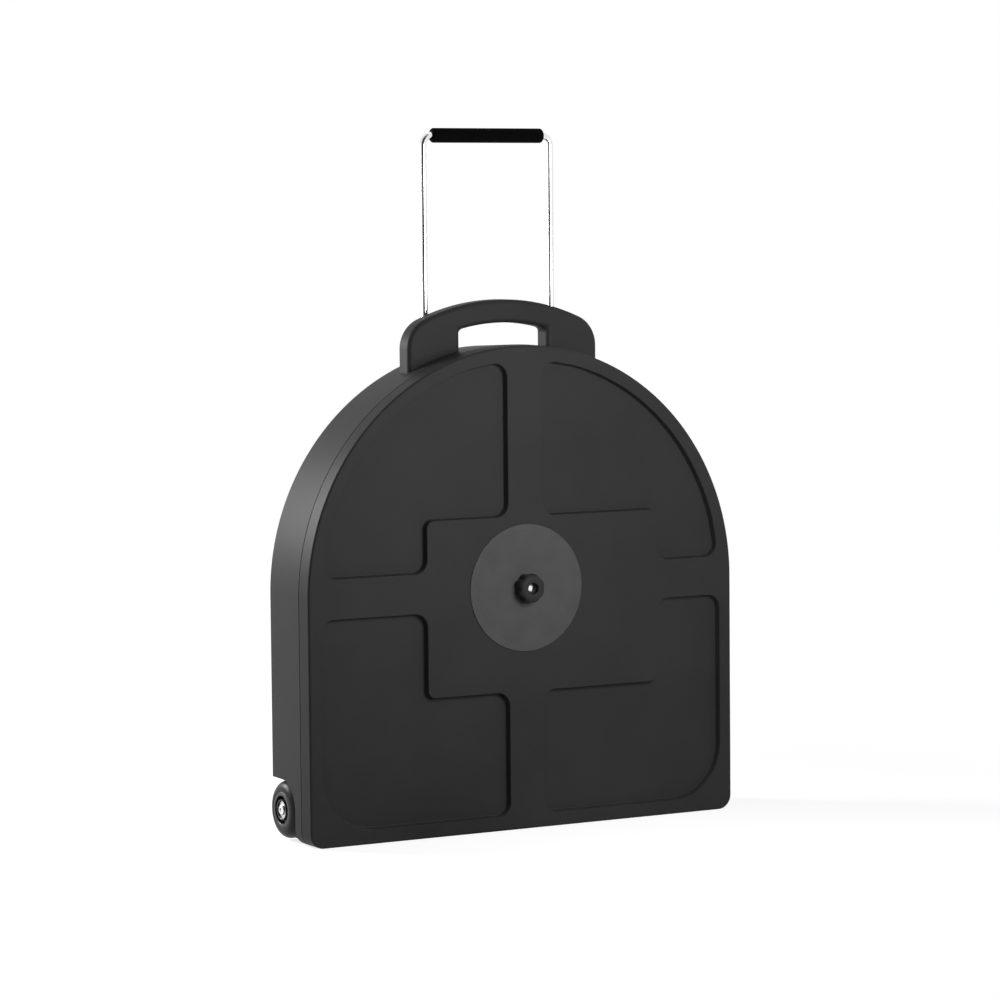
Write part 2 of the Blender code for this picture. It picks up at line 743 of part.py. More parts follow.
def make_back_screws():
    """The brackets' screws and the spindle flange's screws."""
    brackets, flange = screw_places()
    for name, places in (("bracket_screw", brackets), ("flange_screw", flange)):
        for number, (x, z) in enumerate(places, start=1):
            make_screw(f"{name}_{number}", x, z)


def foam_disc(name, front_y, back_y):
    """A round foam liner about the spindle, square to the back wall."""
    disc = rod(name, FOAM_RADIUS, 0.0, back_y - front_y, LARGE_STEPS)
    return add_part(facing_front(disc, 0.0, back_y, SPINDLE_HEIGHT), "foam")


def make_foam():
    """Foam liners of the tub and of the lid, with their holes and channels."""
    rear = foam_disc("rear_foam", REAR_FOAM_Y, BACK_WALL_Y - SEAT_GAP)
    for name, side in SIDES:
        x = side * ROD_SPACING / 2
        half = BRACKET_WIDTH / 2 + SEAT_GAP
        low = BRACKET_MIDDLE - BRACKET_HEIGHT / 2 - SEAT_GAP
        channel = box(
            f"foam_channel_{name}",
            (x - half, BRACKET_Y - SEAT_GAP, low),
            (x + half, BACK_Y, CASE_HEIGHT),
        )
        combine(rear, add_tool(channel))
    flange = rod("foam_flange_pocket", FLANGE_RADIUS + SEAT_GAP, -CUT_MARGIN, BACK_WALL_Y - FLANGE_FRONT_Y)
    combine(rear, add_tool(facing_front(flange, 0.0, BACK_WALL_Y, SPINDLE_HEIGHT)))
    hole = rod("foam_sleeve_hole", SLEEVE_RADIUS + SEAT_GAP, -CUT_MARGIN, CASE_DEPTH)
    combine(rear, add_tool(facing_front(hole, 0.0, BACK_WALL_Y, SPINDLE_HEIGHT)))
    lid = foam_disc("lid_foam", LID_INNER_Y + SEAT_GAP, LID_FOAM_Y)
    hole = rod("lid_foam_hole", SPINDLE_BORE + SLIDE_GAP, -CUT_MARGIN, CASE_DEPTH / 2)
    combine(lid, add_tool(facing_front(hole, 0.0, LID_FOAM_Y, SPINDLE_HEIGHT)))


def make_spindle():
    """Threaded spindle with its flange, sleeve and rear felt."""
    plate_top = FLANGE_THICKNESS
    boss_top = FLANGE_THICKNESS + FLANGE_BOSS_LENGTH
    profile = [
        (SPINDLE_BORE, boss_top),
        (FLANGE_BOSS_RADIUS, boss_top),
        (FLANGE_BOSS_RADIUS, plate_top),
        (FLANGE_RADIUS, plate_top),
        (FLANGE_RADIUS, 0.0),
        (SPINDLE_BORE, 0.0),
    ]
    flange = turned("spindle_flange", profile)
    add_part(facing_front(flange, 0.0, FLANGE_Y, SPINDLE_HEIGHT), "zinc")
    drills = []
    for x, z in screw_places()[1]:
        drill = rod("drill", SCREW_HOLE, -CUT_MARGIN, CUT_MARGIN, SMALL_STEPS)
        drills.append(facing_back(drill, x, FLANGE_Y, z))
    combine(flange, add_tool(merged("flange_drills", drills)))
    spindle = rod("spindle_rod", SPINDLE_RADIUS, 0.0, SPINDLE_BACK_Y - SPINDLE_TIP_Y)
    add_part(facing_front(spindle, 0.0, SPINDLE_BACK_Y, SPINDLE_HEIGHT), "chrome")
    sleeve = turned("spindle_sleeve", ring_profile(SLEEVE_RADIUS, SPINDLE_BORE, 0.0, SLEEVE_LENGTH))
    add_part(facing_front(sleeve, 0.0, SLEEVE_BACK_Y, SPINDLE_HEIGHT), "nylon")
    bore = SLEEVE_RADIUS + SEAT_GAP
    felt = turned("rear_felt", ring_profile(FELT_RADIUS, bore, 0.0, FELT_THICKNESS))
    add_part(facing_front(felt, 0.0, REAR_FOAM_Y - SEAT_GAP, SPINDLE_HEIGHT), "felt")


def make_wing_nut():
    """Front felt, washer and wing nut that hold the cymbals on the spindle."""
    carrier = empty("wing_nut_travel", (0.0, WING_NUT_Y, SPINDLE_HEIGHT), (math.pi / 2, 0.0, 0.0))
    felt = turned("front_felt", ring_profile(FELT_RADIUS, SPINDLE_BORE, 0.0, FELT_THICKNESS))
    add_part(felt, "felt", carrier)
    felt.location.z = WING_NUT_Y - NUT_FELT_Y
    thickness = NUT_WASHER_THICKNESS
    washer = turned("wing_nut_washer", ring_profile(NUT_WASHER_RADIUS, SPINDLE_BORE, 0.0, thickness))
    add_part(washer, "zinc", carrier)
    washer.location.z = WING_NUT_Y - NUT_WASHER_Y
    nut = rod("wing_nut", WING_NUT_RADIUS, 0.0, WING_NUT_HEIGHT)
    add_part(nut, "zinc", carrier)
    wing = [
        (-WING_NUT_RADIUS, 0.002),
        (WING_NUT_RADIUS, 0.002),
        (WING_SPAN / 2 - 0.004, WING_HEIGHT - 0.008),
        (WING_SPAN / 2, WING_HEIGHT - 0.003),
        (WING_SPAN / 2 - 0.003, WING_HEIGHT),
        (WING_NUT_RADIUS, WING_NUT_HEIGHT - 0.001),
        (-WING_NUT_RADIUS, WING_NUT_HEIGHT - 0.001),
        (3 / 1000 - WING_SPAN / 2, WING_HEIGHT),
        (-WING_SPAN / 2, WING_HEIGHT - 0.003),
        (0.004 - WING_SPAN / 2, WING_HEIGHT - 0.008),
    ]
    wings = plate("wings", wing, WING_THICKNESS)
    wings.rotation_euler = (math.pi / 2, 0.0, 0.0)
    wings.parent = carrier
    combine(nut, add_tool(wings), "UNION")
    bore = rod("wing_nut_bore", SPINDLE_BORE, -CUT_MARGIN, WING_HEIGHT + CUT_MARGIN)
    bore.parent = carrier
    combine(nut, add_tool(bore))


def lobed_ring(radius, lobe, height):
    """A ring with the knob's lobes, or a plain one where lobe is 0."""
    points = []
    count = KNOB_LOBES * LOBE_STEPS
    for index in range(count):
        angle = 2 * math.pi * index / count
        dip = lobe * (0.5 + 0.5 * math.cos(KNOB_LOBES * angle)) ** 1.5
        reach = radius - dip
        points.append((reach * math.cos(angle), reach * math.sin(angle), height))
    return points


def make_knob():
    """Clamp knob with its threaded insert, and the washer under it."""
    carrier = empty("knob_travel", (0.0, KNOB_Y, SPINDLE_HEIGHT), (math.pi / 2, 0.0, 0.0))
    thickness = KNOB_WASHER_THICKNESS
    washer = turned("knob_washer", ring_profile(KNOB_WASHER_RADIUS, SPINDLE_BORE, 0.0, thickness))
    add_part(washer, "zinc", carrier)
    washer.location.z = KNOB_Y - KNOB_WASHER_Y
    mouth = KNOB_LENGTH - KNOB_MOUTH_DEPTH
    seat = mouth - KNOB_LIP_THICKNESS
    insert_hole = KNOB_INSERT_RADIUS + SEAT_GAP
    lip = SPINDLE_BORE + SEAT_GAP
    rings = [
        lobed_ring(insert_hole, 0.0, seat),
        lobed_ring(insert_hole, 0.0, 0.0),
        lobed_ring(KNOB_RADIUS - 0.0015, KNOB_LOBE_DEPTH * 0.8, 0.0),
        lobed_ring(KNOB_RADIUS, KNOB_LOBE_DEPTH, 0.0015),
        lobed_ring(KNOB_RADIUS, KNOB_LOBE_DEPTH, KNOB_LENGTH * 0.70),
        lobed_ring(KNOB_RADIUS - 0.0012, KNOB_LOBE_DEPTH * 0.6, KNOB_LENGTH * 0.86),
        lobed_ring(KNOB_RADIUS - 0.0040, KNOB_LOBE_DEPTH * 0.15, KNOB_LENGTH * 0.97),
        lobed_ring(KNOB_RADIUS - 0.0075, 0.0, KNOB_LENGTH),
        lobed_ring(KNOB_MOUTH_RADIUS, 0.0, KNOB_LENGTH),
        lobed_ring(KNOB_MOUTH_RADIUS, 0.0, mouth),
        lobed_ring(lip, 0.0, mouth),
        lobed_ring(lip, 0.0, seat),
    ]
    add_part(loft("clamp_knob", rings, looped=True), "black_plastic", carrier)
    insert = turned("knob_insert", ring_profile(KNOB_INSERT_RADIUS, SPINDLE_BORE, 0.0, seat - SEAT_GAP))
    add_part(insert, "brass", carrier)
    bore = PAD_RADIUS
    pad = turned("lid_pad", ring_profile(bore, SPINDLE_BORE + SLIDE_GAP, 0.0, PAD_THICKNESS), LARGE_STEPS)
    add_part(facing_front(pad, 0.0, PAD_Y, SPINDLE_HEIGHT), "grey_rubber")


def make_guides():
    """Guide tubes, their bushes and the brackets that hold them to the back wall."""
    for name, side in SIDES:
        x = side * ROD_SPACING / 2
        tube = turned(
            f"guide_tube_{name}", ring_profile(TUBE_RADIUS, TUBE_BORE, TUBE_BOTTOM, TUBE_TOP - SEAT_GAP)
        )
        add_part(tube, "aluminium")
        tube.location = (x, ROD_Y, 0.0)
        bore = ROD_RADIUS + SLIDE_GAP
        body = TUBE_BORE - SEAT_GAP
        flange_low = BOSS_TOP + SEAT_GAP
        flange_high = flange_low + BUSH_FLANGE_THICKNESS
        profile = [
            (bore, flange_high),
            (BUSH_FLANGE_RADIUS, flange_high),
            (BUSH_FLANGE_RADIUS, flange_low),
            (body, flange_low),
            (body, BUSH_BOTTOM),
            (bore, BUSH_BOTTOM),
        ]
        bush = turned(f"guide_bush_{name}", profile)
        add_part(bush, "nylon")
        bush.location = (x, ROD_Y, 0.0)
        make_bracket(f"tube_bracket_{name}", x)


def make_bracket(name, x):
    """A block on the back wall that takes the lower end of a guide tube."""
    half = BRACKET_HEIGHT / 2
    low = (x - BRACKET_WIDTH / 2, BRACKET_Y, BRACKET_MIDDLE - half)
    high = (x + BRACKET_WIDTH / 2, BACK_WALL_Y - SEAT_GAP, BRACKET_MIDDLE + half)
    bracket = add_part(box(name, low, high), "nylon")
    bore = rod(f"{name}_bore", TUBE_SOCKET, TUBE_BOTTOM - SEAT_GAP, BRACKET_MIDDLE + BRACKET_HEIGHT)
    bore.location = (x, ROD_Y, 0.0)
    combine(bracket, add_tool(bore))
    drills = []
    for across in (-1, 1):
        drill = rod("drill", SCREW_HOLE, -SCREW_DEPTH - SEAT_GAP, CUT_MARGIN, SMALL_STEPS)
        across_x = x + across * BRACKET_SCREW_SPACING / 2
        drills.append(facing_back(drill, across_x, BACK_Y, BRACKET_MIDDLE))
    combine(bracket, add_tool(merged(f"{name}_drills", drills)))


def make_pull_handle():
    """Pull handle, drawn fully out: bent rod, foam grip and the stops on the rod's ends."""
    carrier = empty("pull_handle_slide", (0.0, ROD_Y, 0.0))
    half = ROD_SPACING / 2
    route = [(-half, ROD_END)]
    route += arc(ROD_BEND - half, GRIP_HEIGHT - ROD_BEND, ROD_BEND, 180, 90, 6)
    route += arc(half - ROD_BEND, GRIP_HEIGHT - ROD_BEND, ROD_BEND, 90, 0, 6)
    route += [(half, ROD_END)]
    curve = bpy.data.curves.new("handle_rod", "CURVE")
    curve.dimensions = "3D"
    curve.bevel_depth = ROD_RADIUS
    curve.bevel_resolution = 4
    curve.use_fill_caps = True
    spline = curve.splines.new("POLY")
    spline.points.add(len(route) - 1)
    for point, (x, z) in zip(spline.points, route):
        point.co = (x, 0.0, z, 1.0)
    add_part(curve_to_mesh(bpy.data.objects.new("handle_rod", curve)), "chrome", carrier)
    radius = GRIP_DIAMETER / 2
    edge = GRIP_DIAMETER / 6
    end = GRIP_LENGTH / 2
    bore = ROD_RADIUS + SEAT_GAP
    profile = [
        (bore, end),
        (radius - edge, end),
        (radius, end - edge),
        (radius, edge - end),
        (radius - edge, -end),
        (bore, -end),
    ]
    grip = add_part(turned("handle_grip", profile), "foam", carrier)
    grip.rotation_euler = (0.0, math.pi / 2, 0.0)
    grip.location = (0.0, 0.0, GRIP_HEIGHT)
    outer = TUBE_BORE - SLIDE_GAP
    for name, side in SIDES:
        low = ROD_END - STOP_FLOOR
        floor = ROD_END - SEAT_GAP
        high = ROD_END + STOP_LENGTH
        profile = [(bore, high), (outer, high), (outer, low), (0.0, low), (0.0, floor), (bore, floor)]
        stop = add_part(stop_collar(f"rod_stop_{name}", profile), "nylon", carrier)
        stop.location = (side * half, 0.0, 0.0)


def stop_collar(name, profile):
    """A cup on the rod's lower end, turned from an open cup profile."""
    bore, high = profile[0]
    outer = profile[1][0]
    low = profile[2][1]
    floor = profile[4][1]
    cup = [(0.0, floor), (bore, floor), (bore, high), (outer, high), (outer, low), (0.0, low)]
    return turned(name, cup)


def tyre_profile():
    """A skate tyre: round tread on a band over the core."""
    half = WHEEL_WIDTH / 2
    bore = CORE_RADIUS + SEAT_GAP
    points = [(bore, half)]
    for step in range(9):
        angle = math.pi / 2 - math.pi * step / 8
        points.append((WHEEL_RADIUS - half + half * math.cos(angle), half * math.sin(angle)))
    points.append((bore, -half))
    return points


def core_profile():
    """Wheel core: rim, recessed web on both faces, and a hub bored for two bearings."""
    half = WHEEL_WIDTH / 2
    web = half - CORE_WEB_DEPTH
    seat = BEARING_RADIUS + SEAT_GAP
    land = half - BEARING_RECESS - BEARING_WIDTH - SEAT_GAP
    step = BEARING_RADIUS - RING_THICKNESS
    upper = [(seat, half), (CORE_HUB_RADIUS, half), (CORE_HUB_RADIUS, web), (CORE_RIM_RADIUS, web)]
    upper += [(CORE_RIM_RADIUS, half), (CORE_RADIUS, half)]
    lower = [(radius, -height) for radius, height in reversed(upper)]
    inner = [(seat, -land), (step, -land), (step, land), (seat, land)]
    return upper + lower + inner


def outer_ring_profile(middle):
    """Outer bearing ring with a shield on both faces."""
    half = BEARING_WIDTH / 2
    inner = BEARING_RADIUS - RING_THICKNESS
    eye = INNER_RING_RADIUS + SLIDE_GAP
    shield = half - SHIELD_THICKNESS
    points = [
        (eye, half),
        (BEARING_RADIUS, half),
        (BEARING_RADIUS, -half),
        (eye, -half),
        (eye, -shield),
        (inner, -shield),
        (inner, shield),
        (eye, shield),
    ]
    return [(radius, middle + height) for radius, height in points]


def make_wheel(name, side):
    """A wheel on its axle: all of it is made about a local Z that points out of the case."""
    middle_x = CASE_WIDTH / 2 - WHEEL_WIDTH / 2
    axis = empty(
        f"wheel_axis_{name}", (side * middle_x, WHEEL_Y, WHEEL_HEIGHT), (0.0, side * math.pi / 2, 0.0)
    )
    half = WHEEL_WIDTH / 2
    bearing = half - BEARING_RECESS - BEARING_WIDTH / 2
    add_part(turned(f"tyre_{name}", tyre_profile(), WHEEL_STEPS), "tyre", axis)
    add_part(turned(f"wheel_core_{name}", core_profile(), WHEEL_STEPS), "nylon", axis)
    for place, middle in (("out", bearing), ("in", -bearing)):
        low = middle - BEARING_WIDTH / 2
        high = middle + BEARING_WIDTH / 2
        outer_ring = turned(f"bearing_outer_ring_{place}_{name}", outer_ring_profile(middle))
        add_part(outer_ring, "zinc", axis)
        profile = ring_profile(INNER_RING_RADIUS, AXLE_BORE, low, high)
        add_part(turned(f"bearing_inner_ring_{place}_{name}", profile), "zinc", axis)
    gap = bearing - BEARING_WIDTH / 2 - SEAT_GAP
    spacer = turned(f"bearing_spacer_{name}", ring_profile(INNER_RING_RADIUS, AXLE_BORE, -gap, gap))
    add_part(spacer, "aluminium", axis)
    make_axle(name, axis, bearing + BEARING_WIDTH / 2)


def make_axle(name, axis, bearing_face):
    """Axle bolt with its wall spacer, backing plate, washer and lock nut."""
    wall_outer = POCKET_X - (CASE_WIDTH / 2 - WHEEL_WIDTH / 2)
    spacer_low = wall_outer + SEAT_GAP
    spacer = turned(
        f"wall_spacer_{name}",
        ring_profile(WALL_SPACER_RADIUS, AXLE_BORE, spacer_low, -bearing_face - SEAT_GAP),
    )
    add_part(spacer, "zinc", axis)
    plate_high = wall_outer - SHELL_WALL - SEAT_GAP
    plate_low = plate_high - AXLE_PLATE_THICKNESS
    half = AXLE_PLATE_SIZE / 2
    backing = box(f"axle_plate_{name}", (-half, -half, plate_low), (half, half, plate_high))
    add_part(backing, "zinc", axis)
    hole = rod(f"axle_plate_hole_{name}", AXLE_BORE, plate_low - CUT_MARGIN, plate_high + CUT_MARGIN)
    hole.parent = axis
    combine(backing, add_tool(hole))
    washer_high = plate_low - SEAT_GAP
    washer_low = washer_high - AXLE_WASHER_THICKNESS
    washer = turned(
        f"axle_washer_{name}", ring_profile(AXLE_WASHER_RADIUS, AXLE_BORE, washer_low, washer_high)
    )
    add_part(washer, "zinc", axis)
    nut_high = washer_low - SEAT_GAP
    nut_low = nut_high - AXLE_NUT_HEIGHT
    nut = rod(f"axle_nut_{name}", AXLE_NUT_WIDTH / math.sqrt(3), nut_low, nut_high, 6)
    add_part(nut, "zinc", axis)
    bore = rod(f"axle_nut_bore_{name}", AXLE_BORE, nut_low - CUT_MARGIN, nut_high + CUT_MARGIN)
    bore.parent = axis
    combine(nut, add_tool(bore))
    head_low = bearing_face + SEAT_GAP
    head_high = head_low + AXLE_HEAD_HEIGHT
    profile = [
        (0.0, head_high),
        (AXLE_HEAD_RADIUS * 0.72, head_high),
        (AXLE_HEAD_RADIUS, head_low + AXLE_HEAD_HEIGHT * 0.55),
        (AXLE_HEAD_RADIUS, head_low),
        (AXLE_RADIUS, head_low),
        (AXLE_RADIUS, nut_low - AXLE_END),
        (0.0, nut_low - AXLE_END),
    ]
    add_part(turned(f"axle_bolt_{name}", profile), "chrome", axis)


def main():
    """Make the whole case."""
    make_lid()
    make_tub()
    make_back_screws()
    make_foam()
    make_spindle()
    make_wing_nut()
    make_knob()
    make_guides()
    make_pull_handle()
    for name, side in SIDES:
        make_wheel(name, side)


main()
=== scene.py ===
"""Finished surfaces for a wheeled cymbal case, built around its fixed frame."""

import json
import math

import bmesh
import bpy
from bpy.props import FloatProperty, FloatVectorProperty, IntProperty, PointerProperty
from mathutils import Matrix, Vector


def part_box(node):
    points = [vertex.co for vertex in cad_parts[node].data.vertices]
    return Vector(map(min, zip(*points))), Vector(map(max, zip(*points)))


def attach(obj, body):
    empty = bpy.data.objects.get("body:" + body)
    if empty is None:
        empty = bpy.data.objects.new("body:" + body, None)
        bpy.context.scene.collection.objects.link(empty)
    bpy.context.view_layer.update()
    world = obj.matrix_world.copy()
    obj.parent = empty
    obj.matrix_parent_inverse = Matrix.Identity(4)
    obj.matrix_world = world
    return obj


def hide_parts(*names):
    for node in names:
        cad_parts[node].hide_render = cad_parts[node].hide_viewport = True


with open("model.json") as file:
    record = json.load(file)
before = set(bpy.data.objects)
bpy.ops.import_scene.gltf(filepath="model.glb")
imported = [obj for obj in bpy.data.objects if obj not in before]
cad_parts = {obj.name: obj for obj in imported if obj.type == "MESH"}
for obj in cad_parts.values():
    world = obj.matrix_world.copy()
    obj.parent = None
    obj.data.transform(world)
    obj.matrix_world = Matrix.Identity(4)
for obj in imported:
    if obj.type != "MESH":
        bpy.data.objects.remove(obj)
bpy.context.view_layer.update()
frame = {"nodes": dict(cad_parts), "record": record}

bl_info = {
    "name": "Wheeled Cymbal Case",
    "version": (1, 0, 0),
    "blender": (4, 5, 0),
    "location": "View3D > Sidebar > Cymbal Case",
    "description": "Builds the finished surfaces of a wheeled cymbal case",
    "category": "Object",
}

MM = 0.001
SIDES = (("left", -1), ("right", 1))
FORWARD = (0, -1, 0)
BACKWARD = (0, 1, 0)
SLOTS = {row["node"]: row["material_slot"] for row in frame["record"]["subparts"]}


def box_corners(node):
    """A node's lowest and highest corners at rest."""
    low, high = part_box(node)
    return Vector(low), Vector(high)


# The shell, read from the frame
LID_LOW, LID_HIGH = box_corners("front_lid")
TUB_HIGH = box_corners("rear_shell")[1]
SPINDLE_LOW, SPINDLE_HIGH = box_corners("spindle_rod")
HALF_WIDTH = LID_HIGH.x
ARCH_CENTRE = LID_HIGH.z - HALF_WIDTH
FRONT_Y = LID_LOW.y
BACK_Y = TUB_HIGH.y
SEAT_GAP = 0.3 * MM
PARTING_Y = LID_HIGH.y + SEAT_GAP / 2
SPINDLE_Z = (SPINDLE_LOW.z + SPINDLE_HIGH.z) / 2
SPINDLE_RADIUS = (SPINDLE_HIGH.x - SPINDLE_LOW.x) / 2

# The shell's walls and edges
WALL = 4.0 * MM
LID_INNER_Y = FRONT_Y + 13.0 * MM
BACK_WALL_Y = BACK_Y - WALL
BASE_CORNER = 19.0 * MM
INNER_CORNER = 10.0 * MM
BACK_FILLET = 5.0 * MM
LID_DRAFT = 0.8 * MM
TUB_DRAFT = 3.4 * MM
LAP_LENGTH = 10.0 * MM
LAP_WALL = 2.0 * MM
CREASE = 0.9 * MM
SCREW_HOLE = 2.3 * MM
SPINDLE_CLEARANCE = 0.7 * MM
MARGIN = 10.0 * MM

# Relief on the lid
UPRIGHT_BAR = 49.4 * MM
LEVEL_BAR = 50.0 * MM
PANEL_BORDER = 18.3 * MM
PANEL_CORNER = 17.0 * MM
PANEL_BASE_CORNER = 70.0 * MM
PLATEAU_LEFT = 140.0 * MM
PLATEAU_RIGHT = 192.8 * MM
PLATEAU_UP = 90.0 * MM
PLATEAU_DOWN = 131.0 * MM
PLATEAU_CORNER = 10.0 * MM

# Grab handle
GRAB_HALF = 136.2 * MM
GRAB_FRONT_Y = FRONT_Y + 51.0 * MM
GRAB_THICKNESS = 29.0 * MM
GRAB_TOP = TUB_HIGH.z
GRAB_CREST_RADIUS = 280.0 * MM
GRAB_SHOULDER_RADIUS = 40.0 * MM
GRAB_BAR_HEIGHT = 29.2 * MM
GRAB_SLOT_HALF = 62.8 * MM
GRAB_ROOT = 50.0 * MM

# Pull handle
ROD_LOW, ROD_HIGH = box_corners("handle_rod")
ROD_RADIUS = (ROD_HIGH.y - ROD_LOW.y) / 2
ROD_X = ROD_HIGH.x - ROD_RADIUS
ROD_Y = (ROD_HIGH.y + ROD_LOW.y) / 2
GRIP_Z = ROD_HIGH.z - ROD_RADIUS
ROD_BEND = 12.0 * MM
BOSS_RADIUS = 13.0 * MM
BOSS_LENGTH = 34.0 * MM
BUSH_FLANGE = 3.0 * MM
BOSS_TOP = box_corners("guide_bush_left")[1].z - BUSH_FLANGE - SEAT_GAP
TUBE_SOCKET = 8.8 * MM
GRIP_END = 3.2 * MM

# Wheels
TYRE_LOW, TYRE_HIGH = box_corners("tyre_right")
WHEEL_RADIUS = (TYRE_HIGH.z - TYRE_LOW.z) / 2
WHEEL_HALF = (TYRE_HIGH.x - TYRE_LOW.x) / 2
WHEEL_X = (TYRE_HIGH.x + TYRE_LOW.x) / 2
WHEEL_Y = (TYRE_HIGH.y + TYRE_LOW.y) / 2
WHEEL_Z = (TYRE_HIGH.z + TYRE_LOW.z) / 2
POCKET_RADIUS = WHEEL_RADIUS + 2.0 * MM
POCKET_X = TYRE_LOW.x - 1.5 * MM
CORE_RADIUS = 22.5 * MM
CORE_RIM_RADIUS = 17.8 * MM
CORE_HUB_RADIUS = 13.2 * MM
BEARING_SEAT = 11.3 * MM
BEARING_STEP = 9.2 * MM
BEARING_LAND = 2.7 * MM
AXLE_BORE = 4.3 * MM
TYRE_LIP = 0.5 * MM
TYRE_SEAT = 0.3 * MM
CORE_EDGE = 0.5 * MM
CORE_WEB = 4.0 * MM
SPOKE_HALF = 1.4 * MM
SPOKE_SUNK = 3.5 * MM

# Axle bolts, with the dome as shares of the head's radius and drops from its top
BOLT_RADIUS = 4.0 * MM
BOLT_CHAMFER = 0.4 * MM
BOLT_HEAD_HEIGHT = 3.0 * MM
BOLT_HEAD_RIM = 0.6 * MM
BOLT_DOME = ((0.62, 0.0), (0.80, 0.35 * MM), (0.94, 1.1 * MM))
SOCKET_RADIUS = 2.9 * MM
SOCKET_DEPTH = 2.2 * MM

# Knob and pad, with the knob's side as a share of its length
KNOB_RADIUS = 18.7 * MM
KNOB_LOBES = 8
KNOB_DIP = 2.2 * MM
KNOB_FOOT_EDGE = 1.6 * MM
KNOB_FOOT_DIP = 0.8
KNOB_SIDE = 0.45
KNOB_CROWN = 11.2 * MM
KNOB_MOUTH = 7.2 * MM
KNOB_LIP = 0.8 * MM
THREAD_CLEARANCE = 0.6 * MM
PAD_GROOVE = 0.25 * MM
PAD_RINGS = (0.30, 0.88)

# Foam, felts and thread
FOAM_EDGE = 2.5 * MM
FELT_OVER_SLEEVE = 2.8 * MM
FELT_OVER_ROD = 0.3 * MM
THREAD_DEPTH = 0.45
THREAD_RUN_OUT = 0.15

# The camera, fitted to the photograph
CAMERA_PLACE = Vector((-2.2650, -4.0621, 0.7619))
CAMERA_YAW = math.radians(29.10)
CAMERA_PITCH = math.radians(4.30)
CAMERA_ROLL = math.radians(-0.52)
CAMERA_LENS = 132.57
SENSOR_WIDTH = 36.0

# Lights
LIGHT_TARGET = (0.0, 0.0, 0.35)
FRONT_LIGHT_PLACE = (0.1, -1.0, 0.65)
TOP_LIGHT_PLACE = (-0.4, -0.6, 2.9)
RIM_LIGHT_PLACE = (-1.0, 1.0, 0.8)
NARROW_LIGHT = 0.5
WIDE_LIGHT = 1.8

# The dark flag that shows as a line down the bright rods
FLAG_YAW = math.radians(30.0)
FLAG_HALF = math.radians(52.0)
FLAG_CORE = 0.4
FLAG_LEVEL = 0.05

# The floor's own white, which rises with the distance from the object
FLOOR_HALF = 12.0
FLOOR_GLOW = 0.80
FLOOR_NEAR = 0.5
FLOOR_FAR = 1.6

# Steps of the round shapes
ARCH_STEPS = 120
CORNER_STEPS = 8
EDGE_STEPS = 4
RIM_STEPS = 24
GRAB_SHOULDER_STEPS = 12
GRAB_CREST_STEPS = 30
GRAB_SLOT_STEPS = 20
BEND_STEPS = 14
GRIP_STEPS = 6
FOOT_STEPS = 3
CROWN_STEPS = 10
LOBE_STEPS = 14
THREAD_SIDES = 20
THREAD_RINGS = 5
SCREW_SIDES = 20
ROD_SIDES = 32
ROUND_STEPS = 48
WHEEL_STEPS = 96
LARGE_STEPS = 128


# Settings

class CaseSizes(bpy.types.PropertyGroup):
    """Sizes of the finished surfaces."""

    edge_radius: FloatProperty(
        name="Lid edge", description="Radius round the lid's face", default=3.0 * MM, unit="LENGTH"
    )
    recess_depth: FloatProperty(
        name="Recess depth", description="Depth of the four panels", default=9.0 * MM, unit="LENGTH"
    )
    recess_run: FloatProperty(
        name="Recess run", description="Width of the panels' sloping wall", default=2.4 * MM, unit="LENGTH"
    )
    recess_lip: FloatProperty(
        name="Recess lip", description="Radius at the top of that wall", default=0.7 * MM, unit="LENGTH"
    )
    recess_foot: FloatProperty(
        name="Recess foot", description="Radius at the foot of that wall", default=1.4 * MM, unit="LENGTH"
    )
    grab_edge: FloatProperty(
        name="Grab edge", description="Radius along the grab handle", default=7.0 * MM, unit="LENGTH"
    )
    thread_pitch: FloatProperty(
        name="Thread pitch", description="Pitch of the spindle", default=1.25 * MM, unit="LENGTH"
    )
    spokes: IntProperty(name="Spokes", description="Ribs between the wheel's hub and rim", default=5)


class CaseColours(bpy.types.PropertyGroup):
    """Colours of the finishes."""

    plastic: FloatVectorProperty(
        name="Plastic", description="Moulded shell", default=(0.035, 0.035, 0.036), subtype="COLOR"
    )
    nylon: FloatVectorProperty(
        name="Nylon", description="Hubs and bushes", default=(0.012, 0.012, 0.0125), subtype="COLOR"
    )
    rubber: FloatVectorProperty(
        name="Pad", description="Round pad under the knob", default=(0.075, 0.075, 0.077), subtype="COLOR"
    )
    tyre: FloatVectorProperty(
        name="Tyre", description="Wheel tread", default=(0.012, 0.012, 0.0125), subtype="COLOR"
    )
    foam: FloatVectorProperty(
        name="Foam", description="Grip and liners", default=(0.003, 0.003, 0.0033), subtype="COLOR"
    )
    felt: FloatVectorProperty(
        name="Felt", description="Cymbal felts", default=(0.050, 0.048, 0.046), subtype="COLOR"
    )
    chrome: FloatVectorProperty(
        name="Chrome", description="Pull handle and spindle", default=(0.80, 0.80, 0.81), subtype="COLOR"
    )
    zinc: FloatVectorProperty(
        name="Zinc", description="Fasteners and bearings", default=(0.62, 0.62, 0.63), subtype="COLOR"
    )
    aluminium: FloatVectorProperty(
        name="Aluminium", description="Guide tubes", default=(0.70, 0.70, 0.71), subtype="COLOR"
    )
    brass: FloatVectorProperty(
        name="Brass", description="Knob insert", default=(0.72, 0.55, 0.25), subtype="COLOR"
    )


class StageLook(bpy.types.PropertyGroup):
    """Lights of the stage."""

    front_light: FloatProperty(name="Front light", description="Soft light from the front", default=8.0)
    top_light: FloatProperty(name="Top light", description="Soft light from above", default=3.0)
    rim_light: FloatProperty(name="Rim light", description="Light from behind left", default=22.0)
    ambient: FloatProperty(name="Ambient", description="Even light all round", default=0.02)


# Materials

